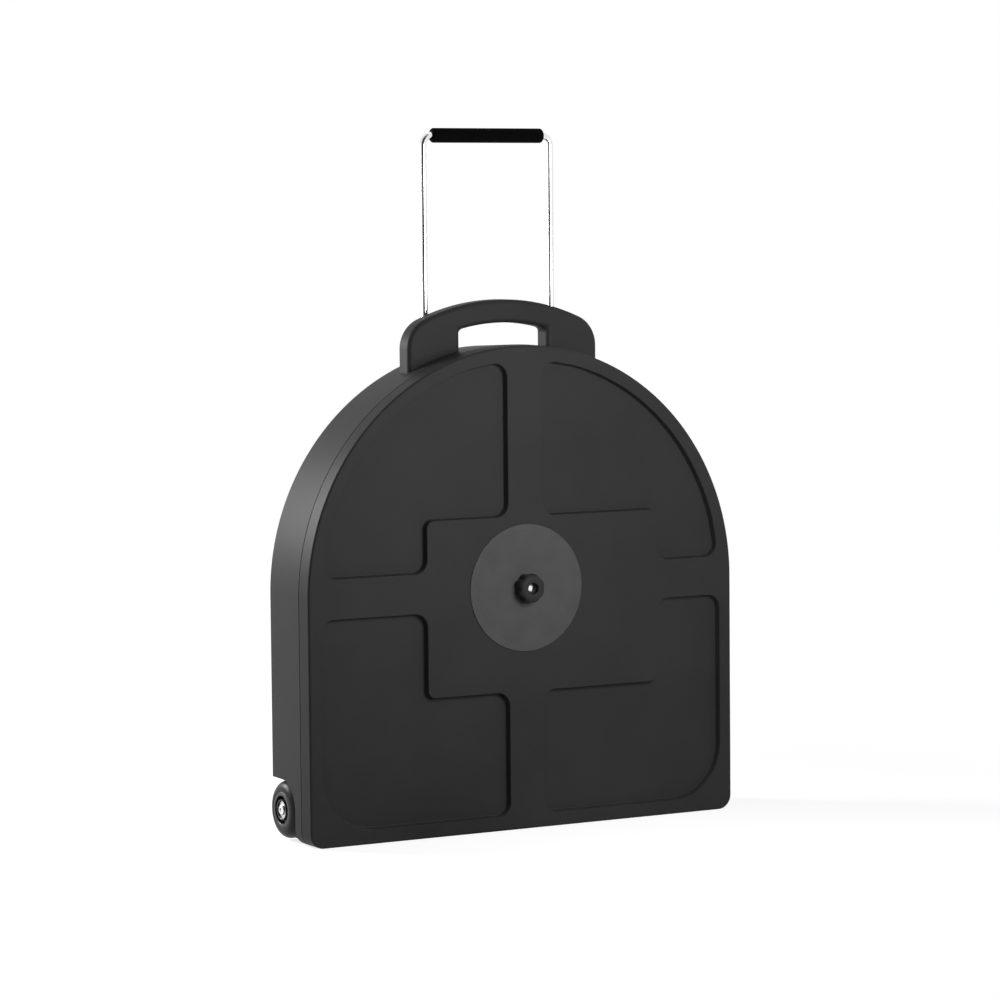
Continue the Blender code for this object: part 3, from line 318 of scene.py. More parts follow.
class Recipe:
    """A material in the making: its nodes, its links and its shader."""

    def __init__(self, name, colour, roughness, metallic=0.0):
        self.material = bpy.data.materials.new(name)
        self.material.use_nodes = True
        self.nodes = self.material.node_tree.nodes
        self.links = self.material.node_tree.links
        self.shader = self.nodes["Principled BSDF"]
        self.shader.inputs["Base Color"].default_value = (*colour, 1.0)
        self.shader.inputs["Roughness"].default_value = roughness
        self.shader.inputs["Metallic"].default_value = metallic
        self.colour = colour
        self.roughness = roughness
        self.place = self.nodes.new("ShaderNodeTexCoord").outputs["Object"]
        self.height = None

    def stretch(self, scale):
        """Stretch the pattern that follows along the axes."""
        mapping = self.nodes.new("ShaderNodeMapping")
        mapping.inputs["Scale"].default_value = scale
        self.links.new(self.place, mapping.inputs["Vector"])
        self.place = mapping.outputs["Vector"]

    def noise(self, scale, detail=3.0):
        """A noise pattern, as a value from 0 to 1."""
        node = self.nodes.new("ShaderNodeTexNoise")
        node.inputs["Scale"].default_value = scale
        node.inputs["Detail"].default_value = detail
        self.links.new(self.place, node.inputs["Vector"])
        return node.outputs["Fac"]

    def cells(self, scale):
        """A pattern of cells, as the distance from their centres."""
        node = self.nodes.new("ShaderNodeTexVoronoi")
        node.inputs["Scale"].default_value = scale
        self.links.new(self.place, node.inputs["Vector"])
        return node.outputs["Distance"]

    def vary(self, pattern, spread, wear):
        """Vary colour and roughness a little with a pattern."""
        ramp = self.nodes.new("ShaderNodeValToRGB")
        ramp.color_ramp.elements[0].position = 0.3
        ramp.color_ramp.elements[1].position = 0.7
        ramp.color_ramp.elements[0].color = (*[c * (1 - spread) for c in self.colour], 1.0)
        ramp.color_ramp.elements[1].color = (*[min(1.0, c * (1 + spread)) for c in self.colour], 1.0)
        self.links.new(pattern, ramp.inputs["Fac"])
        self.links.new(ramp.outputs["Color"], self.shader.inputs["Base Color"])
        spread_map = self.nodes.new("ShaderNodeMapRange")
        spread_map.inputs["To Min"].default_value = self.roughness - wear
        spread_map.inputs["To Max"].default_value = self.roughness + wear
        self.links.new(pattern, spread_map.inputs["Value"])
        self.links.new(spread_map.outputs["Result"], self.shader.inputs["Roughness"])

    def bump(self, pattern, strength, distance):
        """Raise the surface by a pattern, on top of any bump before."""
        node = self.nodes.new("ShaderNodeBump")
        node.inputs["Strength"].default_value = strength
        node.inputs["Distance"].default_value = distance
        self.links.new(pattern, node.inputs["Height"])
        if self.height is not None:
            self.links.new(self.height, node.inputs["Normal"])
        self.height = node.outputs["Normal"]
        self.links.new(self.height, self.shader.inputs["Normal"])


def make_plastic(colours):
    """Moulded shell with a fine spark-eroded grain."""
    recipe = Recipe("moulded_plastic", colours.plastic, 0.50)
    recipe.shader.inputs["Specular IOR Level"].default_value = 0.08
    recipe.vary(recipe.noise(9.0, 5.0), 0.10, 0.05)
    recipe.bump(recipe.noise(1100.0, 2.0), 0.35, 0.15 * MM)
    recipe.bump(recipe.noise(60.0, 2.0), 0.06, 1.0 * MM)
    return recipe.material


def make_nylon(colours):
    """Satin moulded nylon."""
    recipe = Recipe("satin_nylon", colours.nylon, 0.42)
    recipe.vary(recipe.noise(60.0), 0.12, 0.06)
    recipe.bump(recipe.noise(900.0, 2.0), 0.15, 0.1 * MM)
    return recipe.material


def make_rubber(colours):
    """Matt pad, moulded with fine rings."""
    recipe = Recipe("ringed_rubber", colours.rubber, 0.62)
    recipe.shader.inputs["Specular IOR Level"].default_value = 0.20
    recipe.vary(recipe.noise(40.0), 0.08, 0.05)
    recipe.bump(recipe.noise(1500.0, 2.0), 0.2, 0.1 * MM)
    return recipe.material


def make_tyre_finish(colours):
    """Cast tread with a soft sheen and a little dust."""
    recipe = Recipe("cast_tread", colours.tyre, 0.38)
    recipe.shader.inputs["Specular IOR Level"].default_value = 0.15
    recipe.vary(recipe.noise(120.0, 5.0), 0.25, 0.08)
    recipe.bump(recipe.noise(500.0, 3.0), 0.10, 0.2 * MM)
    return recipe.material


def make_foam_finish(colours):
    """Closed-cell foam with small open cells at its skin."""
    recipe = Recipe("cell_foam", colours.foam, 0.92)
    recipe.shader.inputs["Specular IOR Level"].default_value = 0.05
    recipe.vary(recipe.noise(300.0, 4.0), 0.30, 0.05)
    recipe.bump(recipe.cells(900.0), 0.55, 0.5 * MM)
    recipe.bump(recipe.noise(2500.0, 2.0), 0.3, 0.2 * MM)
    return recipe.material


def make_felt_finish(colours):
    """Pressed wool felt."""
    recipe = Recipe("pressed_felt", colours.felt, 0.95)
    recipe.shader.inputs["Sheen Weight"].default_value = 0.35
    recipe.stretch((1.0, 4.0, 1.0))
    recipe.vary(recipe.noise(700.0, 5.0), 0.35, 0.03)
    recipe.bump(recipe.noise(1200.0, 5.0), 0.7, 0.5 * MM)
    return recipe.material


def make_chrome(colours):
    """Bright plating with faint draw marks along the rod."""
    recipe = Recipe("bright_chrome", colours.chrome, 0.09, 1.0)
    recipe.stretch((1.0, 1.0, 0.05))
    recipe.vary(recipe.noise(900.0), 0.03, 0.03)
    recipe.bump(recipe.noise(900.0), 0.02, 0.05 * MM)
    return recipe.material


def make_zinc(colours):
    """Zinc plate with a fine brushed grain."""
    recipe = Recipe("zinc_plate", colours.zinc, 0.30, 1.0)
    recipe.vary(recipe.noise(400.0, 4.0), 0.12, 0.08)
    recipe.bump(recipe.noise(1500.0), 0.08, 0.05 * MM)
    return recipe.material


def make_aluminium(colours):
    """Drawn tube, satin along its length."""
    recipe = Recipe("drawn_aluminium", colours.aluminium, 0.36, 1.0)
    recipe.stretch((1.0, 1.0, 0.03))
    recipe.vary(recipe.noise(1500.0), 0.08, 0.08)
    recipe.bump(recipe.noise(1500.0), 0.08, 0.05 * MM)
    return recipe.material


def make_brass(colours):
    """Turned brass."""
    recipe = Recipe("turned_brass", colours.brass, 0.30, 1.0)
    recipe.vary(recipe.noise(500.0), 0.10, 0.08)
    recipe.bump(recipe.noise(1500.0), 0.06, 0.05 * MM)
    return recipe.material


FINISH_MAKERS = {
    "black_plastic": make_plastic,
    "nylon": make_nylon,
    "grey_rubber": make_rubber,
    "tyre": make_tyre_finish,
    "foam": make_foam_finish,
    "felt": make_felt_finish,
    "chrome": make_chrome,
    "zinc": make_zinc,
    "aluminium": make_aluminium,
    "brass": make_brass,
}
FINISHES = {}


def finish(slot):
    """The material of a slot, made the first time it is asked for."""
    if slot not in FINISHES:
        FINISHES[slot] = FINISH_MAKERS[slot](bpy.context.scene.cymbal_case_colours)
    return FINISHES[slot]


# Meshes

def new_object(name, bm, sharp=32.0):
    """Turn a bmesh into an unlinked object with smooth round faces."""
    mesh = bpy.data.meshes.new(name)
    bm.to_mesh(mesh)
    bm.free()
    mesh.shade_smooth()
    mesh.set_sharp_from_angle(angle=math.radians(sharp))
    return bpy.data.objects.new(name, mesh)


def arc(centre_x, centre_z, radius, start, end, steps):
    """Points along an arc, with its angles in degrees."""
    points = []
    for step in range(steps + 1):
        angle = math.radians(start + (end - start) * step / steps)
        points.append((centre_x + radius * math.cos(angle), centre_z + radius * math.sin(angle)))
    return points


def upright(outline, y):
    """Stand an (x, z) outline up at a distance y."""
    return [(x, y, z) for x, z in outline]


def loft(name, rings, looped=False):
    """Skin closed rings of equal length, capped at both ends or joined end to end."""
    bm = bmesh.new()
    rows = [[bm.verts.new(point) for point in ring] for ring in rings]
    pairs = list(zip(rows[:-1], rows[1:]))
    if looped:
        pairs.append((rows[-1], rows[0]))
    count = len(rows[0])
    for first, second in pairs:
        for index in range(count):
            after = (index + 1) % count
            bm.faces.new((first[index], first[after], second[after], second[index]))
    if not looped:
        bm.faces.new(rows[0])
        bm.faces.new(rows[-1])
    bmesh.ops.recalc_face_normals(bm, faces=bm.faces)
    return new_object(name, bm)


def circle(radius, height, count=ROUND_STEPS):
    """A ring of points about local Z."""
    points = []
    for index in range(count):
        angle = 2 * math.pi * index / count
        points.append((radius * math.cos(angle), radius * math.sin(angle), height))
    return points


def turned(name, profile, count=ROUND_STEPS):
    """A body of rings about local Z: closed by caps, or looped where it has a bore."""
    solid = profile[0][0] == 0
    rings = [circle(radius, height, count) for radius, height in profile if radius > 0]
    return loft(name, rings, looped=not solid)


def rod(name, radius, low, high, count=ROUND_STEPS):
    """A plain round cutter or form."""
    return loft(name, [circle(radius, high, count), circle(radius, low, count)])


def box(name, low, high):
    """A box between two corners."""
    bm = bmesh.new()
    bmesh.ops.create_cube(bm, size=1.0)
    bmesh.ops.scale(bm, verts=bm.verts, vec=[high[axis] - low[axis] for axis in range(3)])
    bmesh.ops.translate(bm, verts=bm.verts, vec=[(high[axis] + low[axis]) / 2 for axis in range(3)])
    return new_object(name, bm)


def prism(name, outline, low, high, place):
    """A prism between two distances: place turns an outline point and a distance into a point."""
    return loft(name, [[place(point, low) for point in outline], [place(point, high) for point in outline]])


def placed(obj, matrix):
    """Move an unlinked object's mesh by a matrix."""
    obj.data.transform(matrix)
    return obj


def facing(direction, location):
    """The matrix that turns local Z to a direction and moves it to a place."""
    turn = Vector(direction).to_track_quat("Z", "Y").to_matrix().to_4x4()
    return Matrix.Translation(Vector(location)) @ turn


def boolean(obj, tools, operation="DIFFERENCE"):
    """Cut tools from an object or join them to it, and return the new mesh in its place."""
    scene = bpy.context.scene.collection
    scene.objects.link(obj)
    for tool in tools:
        scene.objects.link(tool)
        modifier = obj.modifiers.new(tool.name, "BOOLEAN")
        modifier.operation = operation
        modifier.solver = "EXACT"
        modifier.object = tool
    depsgraph = bpy.context.evaluated_depsgraph_get()
    mesh = bpy.data.meshes.new_from_object(obj.evaluated_get(depsgraph))
    name = obj.name
    for done in [obj, *tools]:
        bpy.data.objects.remove(done, do_unlink=True)
    return bpy.data.objects.new(name, mesh)


def smooth(obj, sharp=32.0):
    """Shade round faces smooth, and flat faces flat."""
    obj.data.shade_smooth()
    obj.data.set_sharp_from_angle(angle=math.radians(sharp))
    weigh = obj.modifiers.new("flat_faces", "WEIGHTED_NORMAL")
    weigh.keep_sharp = True
    return obj


def show(obj, slot, body, *nodes):
    """Put a piece in the scene, on its body, in its finish and in place of its nodes."""
    bpy.context.scene.collection.objects.link(obj)
    obj.data.materials.clear()
    obj.data.materials.append(finish(slot))
    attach(obj, body)
    if nodes:
        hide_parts(*nodes)
    return obj


# Outlines of the shell

def case_outline(inset, base, corner=None):
    """The case seen from the front, drawn in by an inset."""
    half = HALF_WIDTH - inset
    if corner is None:
        corner = BASE_CORNER - inset
    points = arc(half - corner, base + corner, corner, -90, 0, CORNER_STEPS)
    points += arc(0.0, ARCH_CENTRE, half, 0, 180, ARCH_STEPS)
    points += arc(corner - half, base + corner, corner, 180, 270, CORNER_STEPS)
    return points


def shell_ring(y, inset=0.0, base=0.0, corner=None):
    """The case's outline, stood at a distance y."""
    return upright(case_outline(inset, base, corner), y)


def edge_rings(face_y, side, radius, draft=0.0):
    """Rings that round an edge from a face at face_y, where side says which way the wall runs."""
    rings = []
    for step in range(CORNER_STEPS + 1):
        angle = math.pi / 2 * step / CORNER_STEPS
        inset = radius * (1 - math.sin(angle))
        rings.append(shell_ring(face_y + side * radius * (1 - math.cos(angle)), draft + inset, inset))
    return rings


def round_corners(corners):
    """Points of a polygon from (x, z, radius) corners, each rounded by its radius."""
    points = []
    count = len(corners)
    for index, (x, z, radius) in enumerate(corners):
        if radius == 0:
            points.append((x, z))
            continue
        before = corners[index - 1]
        after = corners[(index + 1) % count]
        to_before = math.atan2(before[1] - z, before[0] - x)
        to_after = math.atan2(after[1] - z, after[0] - x)
        turn = (to_after - to_before + math.pi) % (2 * math.pi) - math.pi
        reach = radius / math.sin(abs(turn) / 2)
        centre_x = x + reach * math.cos(to_before + turn / 2)
        centre_z = z + reach * math.sin(to_before + turn / 2)
        start = to_before + math.copysign(math.pi / 2, -turn)
        sweep = math.copysign(math.pi - abs(turn), -turn)
        for step in range(CORNER_STEPS + 1):
            angle = start + sweep * step / CORNER_STEPS
            points.append((centre_x + radius * math.cos(angle), centre_z + radius * math.sin(angle)))
    return points


def plateau_reach(side):
    """How far the plateau reaches from the middle."""
    return PLATEAU_RIGHT if side > 0 else PLATEAU_LEFT


def upper_panel(side, inset):
    """Outline of an upper panel, drawn in by an inset."""
    bar = UPRIGHT_BAR / 2 + inset
    floor = SPINDLE_Z + LEVEL_BAR / 2 + inset
    plateau = plateau_reach(side) + inset
    ledge = SPINDLE_Z + PLATEAU_UP + inset
    radius = HALF_WIDTH - PANEL_BORDER - inset
    corner = PANEL_CORNER - inset
    start = math.degrees(math.asin((floor - ARCH_CENTRE) / radius))
    end = math.degrees(math.acos(bar / radius))
    rim = arc(0.0, ARCH_CENTRE, radius, start, end, RIM_STEPS)
    corners = [(bar, ledge, corner), (plateau, ledge, PLATEAU_CORNER + inset), (plateau, floor, corner)]
    corners += [(*rim[0], corner)]
    corners += [(x, z, 0) for x, z in rim[3:-3]]
    corners += [(*rim[-1], corner)]
    return [(side * x, z) for x, z in round_corners(corners)]


def lower_panel(side, inset):
    """Outline of a lower panel, drawn in by an inset."""
    bar = UPRIGHT_BAR / 2 + inset
    roof = SPINDLE_Z - LEVEL_BAR / 2 - inset
    plateau = plateau_reach(side) + inset
    ledge = SPINDLE_Z - PLATEAU_DOWN - inset
    edge = HALF_WIDTH - PANEL_BORDER - inset
    floor = PANEL_BORDER + inset
    corner = PANEL_CORNER - inset
    corners = [
        (bar, ledge, corner),
        (plateau, ledge, PLATEAU_CORNER + inset),
        (plateau, roof, corner),
        (edge, roof, corner),
        (edge, floor, PANEL_BASE_CORNER - inset),
        (bar, floor, corner),
    ]
    return [(side * x, z) for x, z in round_corners(corners)]


def panel_cutter(name, outline, side, sizes):
    """Cutter for a recessed panel: a rounded lip, a sloping wall and a rounded foot."""
    lip = sizes.recess_lip
    foot = sizes.recess_foot
    depth = sizes.recess_depth
    run = sizes.recess_run
    profile = [(-lip, -2 * lip), (-lip, 0.0)]
    for step in range(1, EDGE_STEPS):
        angle = math.pi / 2 * step / EDGE_STEPS
        profile.append((-lip * math.cos(angle), lip * (1 - math.cos(angle))))
    profile.append((run - foot, depth - foot))
    for step in range(1, EDGE_STEPS + 1):
        angle = math.pi / 2 * step / EDGE_STEPS
        profile.append((run - foot * math.cos(angle), depth - foot * (1 - math.sin(angle))))
    return loft(name, [upright(outline(side, inset), FRONT_Y + deep) for inset, deep in profile])


def lid_tools(sizes):
    """Everything that is cut from the lid."""
    lap_y = PARTING_Y - LAP_LENGTH
    rings = [
        shell_ring(LID_INNER_Y, WALL + LID_DRAFT, WALL, INNER_CORNER),
        shell_ring(lap_y, WALL, WALL, INNER_CORNER),
        shell_ring(lap_y, LAP_WALL, LAP_WALL),
        shell_ring(PARTING_Y + MARGIN, LAP_WALL, LAP_WALL),
    ]
    tools = [loft("lid_cavity", rings)]
    for name, side in SIDES:
        tools.append(panel_cutter(f"upper_panel_{name}", upper_panel, side, sizes))
        tools.append(panel_cutter(f"lower_panel_{name}", lower_panel, side, sizes))
    front = FRONT_Y + WALL
    back = LID_INNER_Y + MARGIN
    reach = HALF_WIDTH - PANEL_BORDER - sizes.recess_run
    low_z = PANEL_BORDER + sizes.recess_run
    half = UPRIGHT_BAR / 2 - WALL
    level = LEVEL_BAR / 2 - WALL
    foot = WALL + sizes.edge_radius
    tools.append(box("upright_channel", (-half, front, low_z), (half, back, ARCH_CENTRE + reach)))
    tools.append(box("level_channel", (-reach, front, SPINDLE_Z - level), (reach, back, SPINDLE_Z + level)))
    tools.append(
        box(
            "plateau_channel",
            (foot - PLATEAU_LEFT, front, SPINDLE_Z - PLATEAU_DOWN + foot),
            (PLATEAU_RIGHT - foot, back, SPINDLE_Z + PLATEAU_UP - foot),
        )
    )
    hole = rod("spindle_hole", SPINDLE_RADIUS + SPINDLE_CLEARANCE, -MARGIN, MARGIN)
    tools.append(placed(hole, facing(FORWARD, (0.0, FRONT_Y, SPINDLE_Z))))
    return tools


def grab_outline():
    """The grab handle seen from the front: an arch on two legs."""
    crest_z = GRAB_TOP - GRAB_CREST_RADIUS
    root = ARCH_CENTRE + math.sqrt(HALF_WIDTH ** 2 - GRAB_HALF ** 2) - GRAB_ROOT
    shoulder_x = GRAB_HALF - GRAB_SHOULDER_RADIUS
    reach = GRAB_CREST_RADIUS - GRAB_SHOULDER_RADIUS
    shoulder_z = crest_z + math.sqrt(reach ** 2 - shoulder_x ** 2)
    lean = math.degrees(math.atan2(shoulder_z - crest_z, shoulder_x))
    inner = GRAB_CREST_RADIUS - GRAB_BAR_HEIGHT
    slot_lean = math.degrees(math.acos(GRAB_SLOT_HALF / inner))
    points = [(GRAB_HALF, root)]
    points += arc(shoulder_x, shoulder_z, GRAB_SHOULDER_RADIUS, 0, lean, GRAB_SHOULDER_STEPS)
    points += arc(0.0, crest_z, GRAB_CREST_RADIUS, lean, 180 - lean, GRAB_CREST_STEPS)[1:-1]
    points += arc(-shoulder_x, shoulder_z, GRAB_SHOULDER_RADIUS, 180 - lean, 180, GRAB_SHOULDER_STEPS)
    points += [(-GRAB_HALF, root), (-GRAB_SLOT_HALF, root)]
    points += arc(0.0, crest_z, inner, 180 - slot_lean, slot_lean, GRAB_SLOT_STEPS)
    points += [(GRAB_SLOT_HALF, root)]
    return points


def grab_form(sizes):
    """The grab handle with its rounded edges."""
    form = prism(
        "grab_form",
        grab_outline(),
        GRAB_FRONT_Y,
        GRAB_FRONT_Y + GRAB_THICKNESS,
        lambda point, y: (point[0], y, point[1]),
    )
    bevel = form.modifiers.new("round_edges", "BEVEL")
    bevel.width = sizes.grab_edge
    bevel.segments = 6
    bevel.limit_method = "ANGLE"
    bevel.angle_limit = math.radians(40)
    return form


def pocket_form(name, side, grow):
    """A wheel pocket, round in front and open behind, below and to the side."""
    radius = POCKET_RADIUS + grow
    back = BACK_Y + MARGIN
    outline = arc(WHEEL_Y, WHEEL_Z, radius, 90, 180, RIM_STEPS)
    outline += [(WHEEL_Y - radius, -MARGIN), (back, -MARGIN), (back, WHEEL_Z + radius)]
    inner = side * (POCKET_X - grow)
    outer = side * (HALF_WIDTH + MARGIN)
    return prism(name, outline, inner, outer, lambda point, x: (x, point[0], point[1]))


def tube_form(name, side, radius, low, high):
    """An upright round form on a guide tube's axis."""
    return placed(rod(name, radius, low, high), Matrix.Translation((side * ROD_X, ROD_Y, 0.0)))


def tub_cavity():
    """Inside of the tub, less the wheel pockets' walls and the tube bosses."""
    rings = [
        shell_ring(PARTING_Y - LAP_LENGTH - MARGIN, WALL, WALL, INNER_CORNER),
        shell_ring(PARTING_Y, WALL, WALL, INNER_CORNER),
        shell_ring(BACK_WALL_Y, WALL + TUB_DRAFT, WALL, INNER_CORNER),
    ]
    tools = []
    for name, side in SIDES:
        tools.append(pocket_form(f"pocket_wall_{name}", side, WALL))
        tools.append(tube_form(f"tube_socket_{name}", side, BOSS_RADIUS, BOSS_TOP - BOSS_LENGTH, BOSS_TOP))
    return boolean(loft("tub_cavity", rings), tools)


def tub_tools():
    """Everything that is cut from the tub after its handle and bosses are joined to it."""
    tools = [tub_cavity()]
    for name, side in SIDES:
        tools.append(pocket_form(f"pocket_{name}", side, 0.0))
        low = BOSS_TOP - BOSS_LENGTH - MARGIN
        tools.append(tube_form(f"tube_bore_{name}", side, TUBE_SOCKET, low, BOSS_TOP + MARGIN))
        hole = rod(f"axle_hole_{name}", AXLE_BORE, -MARGIN, MARGIN)
        tools.append(placed(hole, facing((side, 0, 0), (side * POCKET_X, WHEEL_Y, WHEEL_Z))))
    for node in SLOTS:
        if node.startswith(("bracket_screw", "flange_screw")):
            low, high = box_corners(node)
            place = ((low.x + high.x) / 2, BACK_Y, (low.z + high.z) / 2)
            hole = rod(f"{node}_hole", SCREW_HOLE, -MARGIN, MARGIN, SCREW_SIDES)
            tools.append(placed(hole, facing(BACKWARD, place)))
    return tools


# Operators

class CYMBALCASE_OT_lid(bpy.types.Operator):
    """Build the lid with its recessed panels"""

    bl_idname = "cymbal_case.lid"
    bl_label = "Lid"

    def execute(self, context):
        sizes = context.scene.cymbal_case_sizes
        end_y = PARTING_Y - SEAT_GAP / 2
        rings = edge_rings(FRONT_Y, 1, sizes.edge_radius, LID_DRAFT)
        rings += reversed(edge_rings(end_y, -1, CREASE))
        lid = boolean(loft("lid_shell", rings), lid_tools(sizes))
        show(smooth(lid), "black_plastic", "lid", "front_lid")
        return {"FINISHED"}


class CYMBALCASE_OT_tub(bpy.types.Operator):
    """Build the tub with its grab handle, tube bosses and wheel pockets"""

    bl_idname = "cymbal_case.tub"
    bl_label = "Tub"

    def execute(self, context):
        sizes = context.scene.cymbal_case_sizes
        tongue = LAP_WALL + SEAT_GAP
        shoulder_y = PARTING_Y + SEAT_GAP / 2
        rings = [
            shell_ring(PARTING_Y - LAP_LENGTH + SEAT_GAP, tongue, tongue),
            shell_ring(shoulder_y, tongue, tongue),
        ]
        rings += edge_rings(shoulder_y, 1, CREASE)
        rings += reversed(edge_rings(BACK_Y, -1, BACK_FILLET, TUB_DRAFT))
        forms = [grab_form(sizes)]
        for name, side in SIDES:
            low = BOSS_TOP - BOSS_LENGTH / 2
            forms.append(tube_form(f"tube_boss_{name}", side, BOSS_RADIUS, low, BOSS_TOP))
        tub = boolean(loft("tub_shell", rings), forms, "UNION")
        tub = boolean(tub, tub_tools())
        show(smooth(tub), "black_plastic", "case", "rear_shell")
        return {"FINISHED"}


def foam_disc(name, node, tools):
    """A foam liner with soft edges, cut by its tools."""
    low, high = box_corners(node)
    radius = (high.x - low.x) / 2
    depth = high.y - max(low.y, LID_INNER_Y + SEAT_GAP)
    soft = min(FOAM_EDGE, depth / 3)
    rings = []
    for step in range(EDGE_STEPS + 1):
        angle = math.pi / 2 * step / EDGE_STEPS
        reach = radius - soft * (1 - math.sin(angle))
        rings.append(circle(reach, depth - soft * (1 - math.cos(angle)), LARGE_STEPS))
    rings.append(circle(radius, 0.0, LARGE_STEPS))
    disc = placed(loft(name, rings), facing(FORWARD, (0.0, high.y, (low.z + high.z) / 2)))
    return smooth(boolean(disc, tools))


class CYMBALCASE_OT_foam(bpy.types.Operator):
    """Build the foam liners of the tub and the lid"""

    bl_idname = "cymbal_case.foam"
    bl_label = "Foam liners"

    def execute(self, context):
        tools = []
        for name, _ in SIDES:
            low, high = box_corners(f"tube_bracket_{name}")
            tools.append(
                box(
                    f"channel_{name}",
                    (low.x - SEAT_GAP, low.y - SEAT_GAP, low.z - SEAT_GAP),
                    (high.x + SEAT_GAP, BACK_Y, TUB_HIGH.z),
                )
            )
        low, high = box_corners("spindle_flange")
        flange = rod("flange_pocket", (high.x - low.x) / 2 + SEAT_GAP, -MARGIN, BACK_WALL_Y - low.y)
        tools.append(placed(flange, facing(FORWARD, (0.0, BACK_WALL_Y, SPINDLE_Z))))
        low, high = box_corners("spindle_sleeve")
        hole = rod("sleeve_hole", (high.x - low.x) / 2 + SEAT_GAP, -MARGIN, BACK_Y - FRONT_Y)
        tools.append(placed(hole, facing(FORWARD, (0.0, BACK_WALL_Y, SPINDLE_Z))))
        rear = show(foam_disc("tub_liner", "rear_foam", tools), "foam", "case", "rear_foam")
        hole = rod("lid_liner_hole", SPINDLE_RADIUS + SPINDLE_CLEARANCE, -MARGIN, BACK_Y - FRONT_Y)
        hole = placed(hole, facing(FORWARD, (0.0, 0.0, SPINDLE_Z)))
        lid = show(foam_disc("lid_liner", "lid_foam", [hole]), "foam", "lid", "lid_foam")
        return {"FINISHED"}


class CYMBALCASE_OT_felts(bpy.types.Operator):
    """Build the two felts on the spindle"""

    bl_idname = "cymbal_case.felts"
    bl_label = "Felts"

    def execute(self, context):
        felts = (
            ("rear_felt", "case", "felt_behind", FELT_OVER_SLEEVE),
            ("front_felt", "nut_carriage", "felt_in_front", FELT_OVER_ROD),
        )
        for node, body, name, clearance in felts:
            low, high = box_corners(node)
            radius = (high.x - low.x) / 2
            depth = high.y - low.y
            bore = SPINDLE_RADIUS + clearance
            soft = depth / 4
            profile = [(bore, depth)]
            for step in range(EDGE_STEPS + 1):
                angle = math.pi / 2 * step / EDGE_STEPS
                profile.append((radius - soft * (1 - math.sin(angle)), depth - soft * (1 - math.cos(angle))))
            for step in range(EDGE_STEPS + 1):
                angle = math.pi / 2 * step / EDGE_STEPS
                profile.append((radius - soft * (1 - math.cos(angle)), soft * (1 - math.sin(angle))))
            profile.append((bore, 0.0))
            felt = placed(turned(name, profile), facing(FORWARD, (0.0, high.y, SPINDLE_Z)))
            show(smooth(felt), "felt", body, node)
        return {"FINISHED"}


def lobed(radius, dip, height, lobes, steps):
    """A ring with the knob's lobes, or a plain one where dip is 0."""
    points = []
    count = lobes * steps
    for index in range(count):
        angle = 2 * math.pi * index / count
        reach = radius - dip * (0.5 + 0.5 * math.cos(lobes * angle)) ** 1.5
        points.append((reach * math.cos(angle), reach * math.sin(angle), height))
    return points


class CYMBALCASE_OT_knob(bpy.types.Operator):
    """Build the clamp knob and the pad under it"""

    bl_idname = "cymbal_case.knob"
    bl_label = "Clamp knob and pad"

    def execute(self, context):
        low, high = box_corners("clamp_knob")
        insert_low, insert_high = box_corners("knob_insert")
        length = high.y - low.y
        seat = insert_high.y - insert_low.y + SEAT_GAP
        mouth = length - KNOB_MOUTH
        bore = (insert_high.x - insert_low.x) / 2 + SEAT_GAP
        thread_bore = SPINDLE_RADIUS + THREAD_CLEARANCE
        rings = [(bore, 0.0, seat), (bore, 0.0, 0.0), (KNOB_RADIUS - KNOB_FOOT_EDGE, KNOB_FOOT_DIP, 0.0)]
        for step in range(1, FOOT_STEPS + 1):
            angle = math.pi / 2 * step / FOOT_STEPS
            reach = KNOB_RADIUS - KNOB_FOOT_EDGE * (1 - math.sin(angle))
            dip = KNOB_FOOT_DIP + (1 - KNOB_FOOT_DIP) * step / FOOT_STEPS
            rings.append((reach, dip, KNOB_FOOT_EDGE * (1 - math.cos(angle))))
        rings.append((KNOB_RADIUS, 1.0, length * KNOB_SIDE))
        for step in range(1, CROWN_STEPS + 1):
            angle = math.pi / 2 * step / CROWN_STEPS
            reach = KNOB_RADIUS - (KNOB_RADIUS - KNOB_CROWN) * (1 - math.cos(angle)) ** 1.25
            height = length * (KNOB_SIDE + (1 - KNOB_SIDE) * math.sin(angle))
            rings.append((reach, math.cos(angle) ** 3, height))
        rings.append((KNOB_MOUTH + KNOB_LIP, 0.0, length))
        rings.append((KNOB_MOUTH + 0.3 * KNOB_LIP, 0.0, length - 0.3 * KNOB_LIP))
        rings.append((KNOB_MOUTH, 0.0, length - KNOB_LIP))
        rings.append((KNOB_MOUTH, 0.0, mouth))
        rings.append((thread_bore, 0.0, mouth))
        rings.append((thread_bore, 0.0, seat))
        rows = [lobed(reach, dip * KNOB_DIP, height, KNOB_LOBES, LOBE_STEPS) for reach, dip, height in rings]
        knob = placed(loft("knob_body", rows, looped=True), facing(FORWARD, (0.0, high.y, SPINDLE_Z)))
        show(smooth(knob, 40.0), "black_plastic", "knob", "clamp_knob")
        low, high = box_corners("lid_pad")
        radius = (high.x - low.x) / 2
        depth = high.y - low.y
        bore = SPINDLE_RADIUS + SPINDLE_CLEARANCE
        groove = PAD_GROOVE
        profile = [(bore, depth)]
        for share in PAD_RINGS:
            middle = radius * share
            profile += [(middle - 2 * groove, depth), (middle - groove, depth - groove)]
            profile += [(middle + groove, depth - groove), (middle + 2 * groove, depth)]
        profile += [(radius - groove, depth), (radius, depth - groove), (radius, 0.0), (bore, 0.0)]
        pad = placed(turned("round_pad", profile, LARGE_STEPS), facing(FORWARD, (0.0, high.y, SPINDLE_Z)))
        show(smooth(pad, 50.0), "grey_rubber", "lid", "lid_pad")
        return {"FINISHED"}


